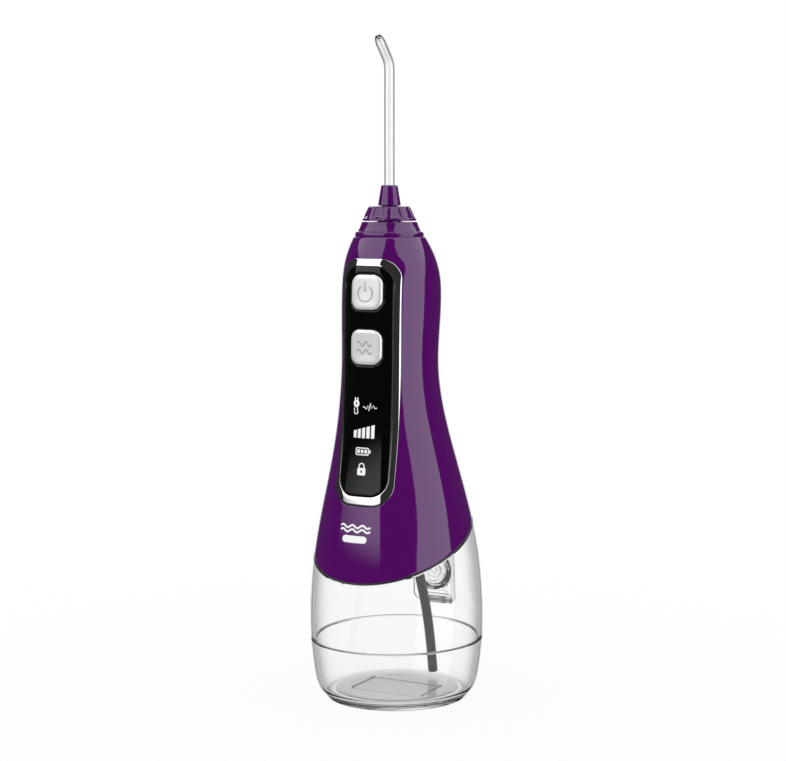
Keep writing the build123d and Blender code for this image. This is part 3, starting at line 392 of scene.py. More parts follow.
def triangulate(loops: list, spacing: float, inside: callable) -> tuple:
    """Triangles that fill a flat shape with holes.

    Args:
        loops: closed outlines and holes, as (n, 2) arrays.
        spacing: how far apart the points inside are.
        inside: a function from an (n, 2) array to how deep inside each point lies.

    Returns:
        The points and an (n, 3) array of triangles.
    """
    edges, start = [], 0
    for loop in loops:
        index = np.arange(len(loop))
        edges += np.stack([start + index, start + (index + 1) % len(loop)], -1).tolist()
        start += len(loop)
    border = np.vstack(loops)
    low, high = border.min(0), border.max(0)
    row, column = np.mgrid[low[1]:high[1]:spacing * 0.866, low[0]:high[0]:spacing]
    column = column + spacing / 2 * (np.arange(len(row)) % 2)[:, None]
    fill = np.stack([column.ravel(), row.ravel()], -1)
    fill = fill[inside(fill) > 0.45 * spacing]
    spots = [Vector(p) for p in np.vstack([border, fill]).tolist()]
    points, _, faces, _, _, _ = delaunay_2d_cdt(spots, edges, [], 0, 1e-6)
    points = np.array([tuple(p) for p in points])
    faces = np.array(faces)
    keep = inside(points[faces].mean(1)) > 0
    return points, faces[keep]


def sheet_object(name: str, points: np.ndarray, faces: np.ndarray, lay: callable, top: float, bottom: float,
                 edge_drop: float = 0.0) -> bpy.types.Object:
    """A thin closed piece laid on a wall: a top, a bottom and the walls between them.

    Args:
        name: the piece's name.
        points: flat (x, z) points.
        faces: triangles of them.
        lay: a function of the flat points and of how proud they stand that gives points in space.
        top: how proud the top stands.
        bottom: how proud the bottom stands.
        edge_drop: how far the top's rim is drawn down, to round its edge.

    Returns:
        The closed object.
    """
    count = len(points)
    sides = np.vstack([faces[:, [0, 1]], faces[:, [1, 2]], faces[:, [2, 0]]])
    _, index, times = np.unique(np.sort(sides, 1), axis=0, return_index=True, return_counts=True)
    rim = sides[index[times == 1]]
    height = np.full(count, top)
    height[np.unique(rim)] -= edge_drop
    space = np.vstack([lay(points, height), lay(points, np.full(count, bottom))])
    walls = np.stack([rim[:, 1], rim[:, 0], rim[:, 0] + count, rim[:, 1] + count], -1)
    everything = faces.tolist() + (faces[:, ::-1] + count).tolist() + walls.tolist()
    piece = new_object(name, space, everything)
    face_out(piece)
    return piece


def stroke(path: list, width: float) -> np.ndarray:
    """The closed outline of a stroke along a path.

    Args:
        path: (x, z) points.
        width: the stroke's width.

    Returns:
        The outline, one side out and the other side back.
    """
    line = np.array(path, float)
    step = np.gradient(line, axis=0)
    step /= np.linalg.norm(step, axis=1)[:, None]
    side = np.stack([-step[:, 1], step[:, 0]], -1) * width / 2
    return np.vstack([line + side, (line - side)[::-1]])


def inside_loops(loops: list) -> callable:
    """A function that tells how deep a point lies in a shape with holes.

    Args:
        loops: closed outlines; a point inside an odd number of them is inside the shape.

    Returns:
        A function from an (n, 2) array to distances, negative outside.
    """
    starts = np.vstack(loops)
    ends = np.vstack([np.roll(loop, -1, 0) for loop in loops])

    def depth(points: np.ndarray) -> np.ndarray:
        """The signed distance to the nearest outline, positive inside."""
        p = points[:, None, :]
        along = ends - starts
        t = np.clip(((p - starts) * along).sum(-1) / (along**2).sum(-1), 0, 1)
        away = np.linalg.norm(p - starts - t[..., None] * along, axis=-1).min(1)
        spans = (starts[:, 1] > p[..., 1]) != (ends[:, 1] > p[..., 1])
        rise = np.where(along[:, 1] == 0, 1e-12, along[:, 1])
        cross = starts[:, 0] + (p[..., 1] - starts[:, 1]) / rise * along[:, 0]
        odd = (spans & (p[..., 0] < cross)).sum(1) % 2 == 1
        return np.where(odd, away, -away)

    return depth


# ---------------------------------------------------------------- finishes
def linear(red: int, green: int, blue: int) -> tuple:
    """The scene-linear colour of an 8-bit display colour.

    Args:
        red: 0 to 255.
        green: 0 to 255.
        blue: 0 to 255.

    Returns:
        Red, green, blue and an alpha of 1.
    """
    value = np.array([red, green, blue]) / 255.0
    value = np.where(value <= 0.04045, value / 12.92, ((value + 0.055) / 1.055) ** 2.4)
    return (*value.tolist(), 1.0)


class Effects:
    """Shader node groups that several finishes share, each made once."""

    def __init__(self) -> None:
        """Makes the groups."""
        self.moulding = self._moulding()
        self.brushing = self._brushing()

    @staticmethod
    def _group(name: str, inputs: list, outputs: list) -> bpy.types.NodeTree:
        """A group with named float, vector and colour sockets."""
        group = bpy.data.node_groups.new(name, "ShaderNodeTree")
        for label, kind, value in inputs:
            socket = group.interface.new_socket(label, in_out="INPUT", socket_type=kind)
            if value is not None:
                socket.default_value = value
        for label, kind in outputs:
            group.interface.new_socket(label, in_out="OUTPUT", socket_type=kind)
        return group

    def _moulding(self) -> bpy.types.NodeTree:
        """Moulded plastic: a faint mottle in colour and roughness, and a fine height."""
        group = self._group(
            "moulded_surface",
            [("Vector", "NodeSocketVector", None), ("Colour", "NodeSocketColor", (1, 1, 1, 1)),
             ("Shade", "NodeSocketFloat", 0.95), ("Scale", "NodeSocketFloat", 300.0),
             ("Roughness Low", "NodeSocketFloat", 0.1), ("Roughness High", "NodeSocketFloat", 0.2)],
            [("Colour", "NodeSocketColor"), ("Roughness", "NodeSocketFloat"), ("Height", "NodeSocketFloat")])
        nodes, links = group.nodes, group.links
        entry, leave = nodes.new("NodeGroupInput"), nodes.new("NodeGroupOutput")
        broad, fine = nodes.new("ShaderNodeTexNoise"), nodes.new("ShaderNodeTexNoise")
        broad.inputs["Scale"].default_value = 45.0
        broad.inputs["Detail"].default_value = 3.0
        fine.inputs["Detail"].default_value = 5.0
        links.new(entry.outputs["Vector"], broad.inputs["Vector"])
        links.new(entry.outputs["Vector"], fine.inputs["Vector"])
        links.new(entry.outputs["Scale"], fine.inputs["Scale"])
        shade = nodes.new("ShaderNodeVectorMath")
        shade.operation = "SCALE"
        links.new(entry.outputs["Colour"], shade.inputs[0])
        links.new(entry.outputs["Shade"], shade.inputs["Scale"])
        mix = nodes.new("ShaderNodeMix")
        mix.data_type = "RGBA"
        links.new(broad.outputs["Fac"], mix.inputs["Factor"])
        links.new(entry.outputs["Colour"], mix.inputs["A"])
        links.new(shade.outputs["Vector"], mix.inputs["B"])
        rough = nodes.new("ShaderNodeMapRange")
        links.new(fine.outputs["Fac"], rough.inputs["Value"])
        links.new(entry.outputs["Roughness Low"], rough.inputs["To Min"])
        links.new(entry.outputs["Roughness High"], rough.inputs["To Max"])
        links.new(mix.outputs["Result"], leave.inputs["Colour"])
        links.new(rough.outputs["Result"], leave.inputs["Roughness"])
        links.new(fine.outputs["Fac"], leave.inputs["Height"])
        return group

    def _brushing(self) -> bpy.types.NodeTree:
        """Drawn or turned metal: streaks stretched along one axis, as roughness and height."""
        group = self._group(
            "brushed_surface",
            [("Vector", "NodeSocketVector", None), ("Stretch", "NodeSocketVector", (1.0, 1.0, 1.0)),
             ("Roughness Low", "NodeSocketFloat", 0.2), ("Roughness High", "NodeSocketFloat", 0.4)],
            [("Roughness", "NodeSocketFloat"), ("Height", "NodeSocketFloat")])
        nodes, links = group.nodes, group.links
        entry, leave = nodes.new("NodeGroupInput"), nodes.new("NodeGroupOutput")
        stretch = nodes.new("ShaderNodeVectorMath")
        stretch.operation = "MULTIPLY"
        links.new(entry.outputs["Vector"], stretch.inputs[0])
        links.new(entry.outputs["Stretch"], stretch.inputs[1])
        streak = nodes.new("ShaderNodeTexNoise")
        streak.inputs["Scale"].default_value = 1.0
        streak.inputs["Detail"].default_value = 4.0
        links.new(stretch.outputs["Vector"], streak.inputs["Vector"])
        rough = nodes.new("ShaderNodeMapRange")
        links.new(streak.outputs["Fac"], rough.inputs["Value"])
        links.new(entry.outputs["Roughness Low"], rough.inputs["To Min"])
        links.new(entry.outputs["Roughness High"], rough.inputs["To Max"])
        links.new(rough.outputs["Result"], leave.inputs["Roughness"])
        links.new(streak.outputs["Fac"], leave.inputs["Height"])
        return group


@dataclass(frozen=True)
class Plastic:
    """An opaque plastic or rubber, moulded, with a mottle too faint to see as a pattern."""

    name: str
    colour: tuple
    rough: tuple = (0.2, 0.3)
    shade: float = 0.94
    scale: float = 900.0
    bump: float = 0.02
    coat: float = 0.0
    specular: float = 0.5
    ior: float = 1.46
    sheen: float = 0.0

    def build(self, effects: Effects) -> bpy.types.Material:
        """Makes the material.

        Args:
            effects: the shared node groups.

        Returns:
            The material, its constants set on the shader's own sockets.
        """
        material = bpy.data.materials.new(self.name)
        material.use_nodes = True
        nodes, links = material.node_tree.nodes, material.node_tree.links
        shader = nodes["Principled BSDF"]
        place = nodes.new("ShaderNodeTexCoord")
        surface = nodes.new("ShaderNodeGroup")
        surface.node_tree = effects.moulding
        surface.inputs["Colour"].default_value = self.colour
        surface.inputs["Shade"].default_value = self.shade
        surface.inputs["Scale"].default_value = self.scale
        surface.inputs["Roughness Low"].default_value = self.rough[0]
        surface.inputs["Roughness High"].default_value = self.rough[1]
        bump = nodes.new("ShaderNodeBump")
        bump.inputs["Strength"].default_value = self.bump
        bump.inputs["Distance"].default_value = 0.0001
        links.new(place.outputs["Object"], surface.inputs["Vector"])
        links.new(surface.outputs["Colour"], shader.inputs["Base Color"])
        links.new(surface.outputs["Roughness"], shader.inputs["Roughness"])
        links.new(surface.outputs["Height"], bump.inputs["Height"])
        links.new(bump.outputs["Normal"], shader.inputs["Normal"])
        shader.inputs["IOR"].default_value = self.ior
        shader.inputs["Specular IOR Level"].default_value = self.specular
        shader.inputs["Coat Weight"].default_value = self.coat
        shader.inputs["Coat Roughness"].default_value = 0.03
        shader.inputs["Sheen Weight"].default_value = self.sheen
        return material


@dataclass(frozen=True)
class Metal:
    """A metal with drawn or turned streaks."""

    name: str
    colour: tuple
    rough: tuple = (0.18, 0.32)
    stretch: tuple = (200.0, 200.0, 6000.0)
    bump: float = 0.03
    metallic: float = 1.0
    coat: float = 0.0

    def build(self, effects: Effects) -> bpy.types.Material:
        """Makes the material.

        Args:
            effects: the shared node groups.

        Returns:
            The material.
        """
        material = bpy.data.materials.new(self.name)
        material.use_nodes = True
        nodes, links = material.node_tree.nodes, material.node_tree.links
        shader = nodes["Principled BSDF"]
        place = nodes.new("ShaderNodeTexCoord")
        surface = nodes.new("ShaderNodeGroup")
        surface.node_tree = effects.brushing
        surface.inputs["Stretch"].default_value = self.stretch
        surface.inputs["Roughness Low"].default_value = self.rough[0]
        surface.inputs["Roughness High"].default_value = self.rough[1]
        bump = nodes.new("ShaderNodeBump")
        bump.inputs["Strength"].default_value = self.bump
        bump.inputs["Distance"].default_value = 0.0001
        links.new(place.outputs["Object"], surface.inputs["Vector"])
        links.new(surface.outputs["Roughness"], shader.inputs["Roughness"])
        links.new(surface.outputs["Height"], bump.inputs["Height"])
        links.new(bump.outputs["Normal"], shader.inputs["Normal"])
        shader.inputs["Base Color"].default_value = self.colour
        shader.inputs["Metallic"].default_value = self.metallic
        shader.inputs["Coat Weight"].default_value = self.coat
        return material


@dataclass(frozen=True)
class Clear:
    """A clear plastic whose colour is darkened where its surface turns away from the view, a painted shade for the
    dark edges that refraction and reflection give it: edge is (from, to, shade).
    """

    name: str
    colour: tuple
    rough: tuple = (0.0, 0.02)
    ior: float = 1.3
    # edge sets the painted edge shade: where it starts and ends on the Facing scale, and how dark it gets.
    edge: tuple = (0.42, 0.93, 0.48)

    def build(self, effects: Effects) -> bpy.types.Material:
        """Makes the material.

        Args:
            effects: the shared node groups.

        Returns:
            The material.
        """
        material = bpy.data.materials.new(self.name)
        material.use_nodes = True
        nodes, links = material.node_tree.nodes, material.node_tree.links
        shader = nodes["Principled BSDF"]
        place = nodes.new("ShaderNodeTexCoord")
        surface = nodes.new("ShaderNodeGroup")
        surface.node_tree = effects.moulding
        surface.inputs["Scale"].default_value = 60.0
        surface.inputs["Roughness Low"].default_value = self.rough[0]
        surface.inputs["Roughness High"].default_value = self.rough[1]
        links.new(place.outputs["Object"], surface.inputs["Vector"])
        links.new(surface.outputs["Roughness"], shader.inputs["Roughness"])
        # The Facing of a Layer Weight darkens the colour towards the silhouette: a painted shade for the dark rim of
        # a clear piece.
        facing = nodes.new("ShaderNodeLayerWeight")
        facing.inputs["Blend"].default_value = 0.5
        slant = nodes.new("ShaderNodeMapRange")
        slant.interpolation_type = "SMOOTHSTEP"
        slant.inputs["From Min"].default_value, slant.inputs["From Max"].default_value = self.edge[:2]
        slant.inputs["To Min"].default_value, slant.inputs["To Max"].default_value = 1.0, self.edge[2]
        painted_edge_shade = nodes.new("ShaderNodeVectorMath")
        painted_edge_shade.operation = "SCALE"
        painted_edge_shade.inputs[0].default_value = self.colour[:3]
        links.new(facing.outputs["Facing"], slant.inputs["Value"])
        links.new(slant.outputs["Result"], painted_edge_shade.inputs["Scale"])
        links.new(painted_edge_shade.outputs["Vector"], shader.inputs["Base Color"])
        shader.inputs["Transmission Weight"].default_value = 1.0
        shader.inputs["Metallic"].default_value = 0.0
        shader.inputs["IOR"].default_value = self.ior
        return material


class Slot(Enum):
    """The record's material slots, each with the finish that it has here."""

    PURPLE_SHELL = Plastic("purple_gloss", linear(80, 6, 95), rough=(0.04, 0.07), shade=0.97, bump=0.004)
    # The clear finishes darken towards their edges, a painted shade: the tank's greys its sides, the lid's and the
    # plug's are dark enough to draw the door's beads, bars and plug as dark lines, and the tip's greys the tube's
    # sides.
    CLEAR_TANK = Clear("tank_clear", (0.985, 0.99, 0.99, 1.0))
    # The floor plate's slightly grey clear is a painted shade for the contact shadow under the tank, which the tank's
    # clear pieces don't cast.
    TANK_FLOOR = Clear("tank_floor_painted_shade", (0.965, 0.968, 0.968, 1.0), edge=(0.9, 1.0, 1.0))
    LID_CLEAR = Clear("lid_clear", (0.98, 0.985, 0.985, 1.0), edge=(0.12, 0.6, 0.12))
    PLUG_CLEAR = Clear("plug_clear", (0.94, 0.945, 0.945, 1.0), ior=1.35, edge=(0.15, 0.6, 0.08))
    CLEAR_TIP = Clear("tip_clear", (0.985, 0.985, 0.985, 1.0), ior=1.2, edge=(0.13, 0.38, 0.25))
    BLACK_RUBBER = Plastic("seal_rubber", linear(20, 20, 21), rough=(0.45, 0.6), bump=0.2, sheen=0.1)
    DARK_HOSE = Plastic("hose_silicone", linear(36, 36, 38), rough=(0.3, 0.4), bump=0.1, scale=1500.0)
    WHITE_RUBBER = Plastic("valve_silicone", linear(225, 226, 227), rough=(0.35, 0.5), bump=0.1)
    BEZEL_METAL = Metal("bezel_polished_metal", linear(188, 188, 190), rough=(0.03, 0.06), bump=0.003)
    BLACK_LENS = Plastic("lens_black_gloss", linear(5, 5, 6), rough=(0.02, 0.04), bump=0.002, specular=0.28)
    SILVER_BUTTON = Metal("button_satin_silver", linear(226, 227, 227), rough=(0.3, 0.34), metallic=0.4,
                          stretch=(300.0, 300.0, 300.0), bump=0.0)
    # A darker silver for the buttons' raised symbols, a painted shade for the shade in the embossed symbols' grooves.
    BUTTON_MARK = Metal("button_mark_painted_shade", linear(186, 187, 188), rough=(0.26, 0.3), metallic=0.3,
                        stretch=(300.0, 300.0, 300.0), bump=0.0)
    WHITE_PLASTIC = Plastic("inner_white_plastic", linear(222, 222, 218), rough=(0.35, 0.5), bump=0.15)
    GREY_PLASTIC = Plastic("inner_grey_plastic", linear(98, 102, 108), rough=(0.4, 0.55), bump=0.15)
    BOARD_GREEN = Plastic("solder_mask", linear(26, 96, 52), rough=(0.2, 0.35), shade=0.8, coat=0.4)
    LED_AMBER = Plastic("led_resin", linear(232, 214, 140), rough=(0.1, 0.2), coat=0.5)
    CELL_BLUE = Plastic("cell_sleeve", linear(44, 92, 168), rough=(0.15, 0.3), coat=0.3)
    STEEL = Metal("screw_steel", linear(198, 199, 202), stretch=(3000.0, 3000.0, 800.0))
    MOTOR_STEEL = Metal("motor_can_steel", linear(188, 190, 194), stretch=(300.0, 6000.0, 300.0))
    BRASS = Metal("turned_brass", linear(212, 176, 96), stretch=(500.0, 5000.0, 500.0))
    ACETAL = Plastic("white_acetal", linear(228, 230, 228), rough=(0.3, 0.42), bump=0.08)
    CLEAR_SILICONE = Plastic("hose_pale_silicone", linear(206, 210, 214), rough=(0.25, 0.35), bump=0.05)
    SYMBOL_WHITE = Plastic("printed_white", linear(246, 247, 246), rough=(0.3, 0.4), bump=0.05)


class Wardrobe:
    """The materials, made once and looked up by slot."""

    def __init__(self) -> None:
        """Makes every finish."""
        effects = Effects()
        self.material = {slot: slot.value.build(effects) for slot in Slot}

    def dress(self, piece: bpy.types.Object, slot: Slot, record_slot: str = "") -> bpy.types.Object:
        """Gives a new piece its material.

        Args:
            piece: the object.
            slot: the finish.
            record_slot: the record's slot, if it isn't the finish's own; not used.

        Returns:
            The same object.
        """
        piece.data.materials.clear()
        piece.data.materials.append(self.material[slot])
        record_slot or slot.name.lower()
        return piece

    def dress_node(self, node: bpy.types.Object, record_slot: str) -> None:
        """Gives a CAD node the finish of its slot.

        Args:
            node: the node's object.
            record_slot: the record's slot.
        """
        material = self.material[Slot[record_slot.upper()]]
        for holder in node.material_slots:
            holder.material = material
        if not node.material_slots:
            node.data.materials.append(material)


# ---------------------------------------------------------------- sub-assemblies
AROUND = np.linspace(0.0, 2.0 * np.pi, 320, endpoint=False)


def cut(piece: bpy.types.Object, cutter: bpy.types.Object, keep: str = "DIFFERENCE") -> None:
    """Cuts one closed mesh with another and applies the result.

    Args:
        piece: what is cut.
        cutter: what it is cut with; it is used up.
        keep: the Boolean modifier's operation.
    """
    step = piece.modifiers.new("cut", "BOOLEAN")
    step.object = cutter
    step.operation = keep
    step.solver = "EXACT"
    bpy.context.view_layer.update()
    shaped = bpy.data.meshes.new_from_object(piece.evaluated_get(bpy.context.evaluated_depsgraph_get()))
    piece.modifiers.clear()
    piece.data = shaped
    shaped.name = piece.name
    shaped.polygons.foreach_set("use_smooth", np.full(len(shaped.polygons), True))
    bpy.data.objects.remove(cutter)


def let_light_through(piece: bpy.types.Object) -> None:
    """Lets a clear piece throw no shadow, so that what stands behind it is lit."""
    piece.visible_shadow = False
    piece.visible_diffuse = False


def sharpen(piece: bpy.types.Object, degrees: float = 32.0) -> None:
    """Keeps edges steeper than an angle crisp."""
    piece.data.set_sharp_from_angle(angle=math.radians(degrees))


def bar_along_y(name: str, outline: np.ndarray, near: float, far: float) -> bpy.types.Object:
    """A prism with an (x, z) outline between two values of Y."""
    rows = [np.stack([outline[:, 0], np.full(len(outline), y), outline[:, 1]], -1) for y in (near, far)]
    return grid_object(name, np.array(rows), cap_first=True, cap_last=True)


def circle(x: float, z: float, radius: float, count: int = 72) -> np.ndarray:
    """Points of a circle in the XZ plane."""
    turn = np.linspace(0.0, 2.0 * np.pi, count, endpoint=False)
    return np.stack([x + radius * np.cos(turn), z + radius * np.sin(turn)], -1)


def pin_along_x(name: str, start: float, end: float, y: float, z: float, radius: float, end_radius: float,
                columns: int = 48) -> bpy.types.Object:
    """A round pin along X with small chamfers at both ends.

    Args:
        name: the piece's name.
        start: X of its first end.
        end: X of its other end.
        y: Y of its axis.
        z: Z of its axis.
        radius: its radius.
        end_radius: the radius of its two ends.
        columns: how many points go round it.

    Returns:
        The closed pin.
    """
    turn = np.linspace(0.0, 2.0 * np.pi, columns, endpoint=False)
    chamfer = math.copysign(PIN_CHAMFER, end - start)
    stations = ((start, end_radius), (start + chamfer, radius), (end - chamfer, radius), (end, end_radius))
    rows = [np.stack([np.full(columns, x), y + r * np.cos(turn), z + r * np.sin(turn)], -1) for x, r in stations]
    return grid_object(name, np.array(rows), cap_first=True, cap_last=True)


@dataclass
class Tank:
    """The clear tank: a cup with its floor, an upper wall welded on it, and the fill opening in its back."""

    wardrobe: Wardrobe
    wall: float = 2.0
    floor: float = 2.4
    weld: float = 25.2
    groove: float = 0.5
    rim_drop: float = 1.05
    foot_round: float = 1.5
    inner_round: float = 3.6
    neck_inner: float = 39.8
    neck_wall: float = 1.4
    tray_width: float = 33.0
    tray_half: float = 10.7
    tray_y: float = 6.5
    tray_sink: float = 0.5
    plate_inset: float = 3.1
    door: RoundedPanel = field(default_factory=lambda: RoundedPanel(21.5, 32.6, 57.75, 3.2, back=True))

    def upper_wall(self) -> bpy.types.Object:
        """The wall from the weld to the slanted rim, with the door's recess and the fill hole."""
        low = self.weld + self.groove / 2
        side = [(0.12, 0.0), (0.0, 0.12)] + [(0.0, h) for h in np.linspace(0.6, 99.4, 60)]
        lip = [(0.0, 99.85), (0.15, 100.0), (self.wall - 0.15, 100.0), (self.wall, 99.85)]
        inner = [(self.wall, h) for h in np.linspace(99.4, 0.6, 60)] + [(self.wall, 0.12), (self.wall - 0.12, 0.0)]
        rows = []
        for inset, share in side + lip + inner:
            top = FORM.split(AROUND, np.full(AROUND.shape, inset), -self.rim_drop)
            rows.append(FORM.point(AROUND, low + (top - low) * share / 100.0, inset))
        piece = grid_object("tank_upper_wall", np.array(rows), wrap_rows=True)
        outer = [self.door.place(self.door.outline(160), 2.0), self.door.place(self.door.outline(160), -1.2)]
        deep = [self.door.place(self.door.outline(160, d), -1.2) for d in (1.0, 2.4)]
        high = [self.door.place(self.door.outline(160, d), 2.0) for d in (2.4, 1.0)]
        cut(piece, grid_object("door_cutter", np.array(high + outer + deep), cap_first=True, cap_last=True))
        cut(piece, bar_along_y("hole_cutter", circle(0, FILL_HEIGHT, FILL_RADIUS), 30.0, 60.0))
        sharpen(piece)
        return piece

    def neck(self) -> bpy.types.Object:
        """The short ring inside the wall around the fill hole."""
        turn = np.linspace(0.0, 2.0 * np.pi, 96, endpoint=False)
        rows = []
        wall_y = FORM.wall_y(np.array([0.0]), np.array([FILL_HEIGHT]), -self.wall, back=True)[0] + 0.1
        outside = FILL_RADIUS + self.neck_wall
        profile = [(FILL_RADIUS, self.neck_inner, 0.3), (outside, self.neck_inner, 0.3), (outside, wall_y, 0.0),
                   (FILL_RADIUS, wall_y, 0.0)]
        for radius, y in rounded_profile(profile, 4):
            x, z = radius * np.cos(turn), FILL_HEIGHT + radius * np.sin(turn)
            rows.append(np.stack([x, np.full(96, y), z], -1))
        return grid_object("fill_neck", np.array(rows), wrap_rows=True)

    def cup(self) -> bpy.types.Object:
        """The lower cup: underside, foot, outer wall, inner wall and floor in one closed skin."""
        top = self.weld - self.groove / 2
        skin, corner = self.wall + 0.3, self.inner_round
        rows = []
        foot = FORM.section(np.array(0.0))
        for share in (0.02, 0.3, 0.6, 0.85, 0.94, 0.975):
            x, y = foot[0] * share * np.cos(AROUND), foot[2] + foot[1] * share * np.sin(AROUND)
            rows.append(np.stack([x, y, np.zeros(x.shape)], -1))
        for turn in np.linspace(0.15, 1.0, 6) * np.pi / 2:
            reach = 0.975 + 0.05 * math.sin(turn)
            height = self.foot_round * (1 - math.cos(turn))
            half = FORM.section(np.array(height))
            x, y = half[0] * min(reach, 1.0) * np.cos(AROUND), half[2] + half[1] * min(reach, 1.0) * np.sin(AROUND)
            rows.append(np.stack([x, y, np.full(x.shape, height)], -1))
        path = [(0.0, z) for z in np.linspace(2.4, top - 0.15, 34)] + [(0.15, top), (skin - 0.15, top)]
        path += [(skin, z) for z in np.linspace(top - 0.15, self.floor + corner, 30)]
        rows += [FORM.point(AROUND, z, inset) for inset, z in path]
        for turn in np.linspace(0.2, 1.0, 7) * np.pi / 2:
            height = self.floor + corner - corner * math.sin(turn)
            rows.append(FORM.point(AROUND, height, skin + corner * (1 - math.cos(turn))))
        edge = FORM.section(np.array(self.floor))
        for share in (0.7, 0.4, 0.02):
            x = (edge[0] - skin - corner) * share * np.cos(AROUND)
            y = edge[2] + (edge[1] - skin - corner) * share * np.sin(AROUND)
            rows.append(np.stack([x, y, np.full(x.shape, self.floor)], -1))
        piece = grid_object("tank_cup", np.array(rows), cap_first=True, cap_last=True)
        panel = RoundedPanel(self.tray_width, -self.tray_half, self.tray_half, 0.5).outline(64)
        tray = [np.stack([panel[:, 0], panel[:, 1] + self.tray_y, np.full(64, z)], -1)
                for z in (self.floor - self.tray_sink, 5.0)]
        cut(piece, grid_object("tray_cutter", np.array(tray), cap_first=True, cap_last=True))
        sharpen(piece)
        return piece

    def floor_plate(self) -> bpy.types.Object:
        """A thin closed plate with rounded ends on the cup's floor, tinted grey as a painted shade for the contact
        shadow under the tank.
        """
        edge = FORM.section(np.array(self.floor))
        rows = []
        for share, height in ((0.02, 0.3), (0.7, 0.3), (0.98, 0.3), (1.0, 0.22), (1.0, 0.08), (0.98, 0.02),
                              (0.7, 0.02), (0.02, 0.02)):
            x = (edge[0] - self.plate_inset) * share * np.cos(AROUND)
            y = edge[2] + (edge[1] - self.plate_inset) * share * np.sin(AROUND)
            rows.append(np.stack([x, y, np.full(x.shape, self.floor + height)], -1))
        return grid_object("tank_floor_shade_plate", np.array(rows), cap_first=True, cap_last=True)

    def tray_line(self) -> bpy.types.Object:
        """The thin raised border of the floor's shallow tray."""
        rows = []
        for draw_in, height in ((0.0, 0.25), (0.05, 0.6), (0.3, 0.6), (0.35, 0.25)):
            border = RoundedPanel(self.tray_width, -self.tray_half, self.tray_half, 0.6).outline(96, draw_in)
            rows.append(np.stack([border[:, 0], border[:, 1] + self.tray_y, np.full(96, self.floor + height)], -1))
        return grid_object("tank_tray_border", np.array(rows), wrap_rows=True)

    def ears(self) -> bpy.types.Object:
        """The two hinge ears on the outside of the wall."""
        return join("lid_hinge_ears", [pin_along_x("ear", side * 4.2, side * 7.0, HINGE_Y, HINGE_Z, HINGE_RADIUS,
                                                   HINGE_END) for side in (-1, 1)])

    def build(self) -> None:
        """Makes and dresses the tank."""
        wall, cup = self.upper_wall(), self.cup()
        finishes = ((wall, Slot.CLEAR_TANK), (cup, Slot.CLEAR_TANK), (self.neck(), Slot.CLEAR_TANK),
                    (self.ears(), Slot.CLEAR_TANK), (self.floor_plate(), Slot.TANK_FLOOR),
                    (self.tray_line(), Slot.LID_CLEAR))
        for piece, finish in finishes:
            self.wardrobe.dress(piece, finish, "clear_tank")
            let_light_through(piece)
            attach(piece, "tank")
            log.info("tank: %s", piece.name)
        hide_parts("tank_wall")
        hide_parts("tank_base")


def join(name: str, parts: list) -> bpy.types.Object:
    """Joins closed pieces into one object.

    Args:
        name: the new piece's name.
        parts: the objects to join; they are used up.

    Returns:
        The joined object.
    """
    points, faces, start = [], [], 0
    for part in parts:
        flat = np.zeros(len(part.data.vertices) * 3, np.float32)
        part.data.vertices.foreach_get("co", flat)
        points.append(flat.reshape(-1, 3) / MM)
        faces += [tuple(i + start for i in face.vertices) for face in part.data.polygons]
        start += len(part.data.vertices)
        bpy.data.objects.remove(part)
    return new_object(name, np.vstack(points), faces)


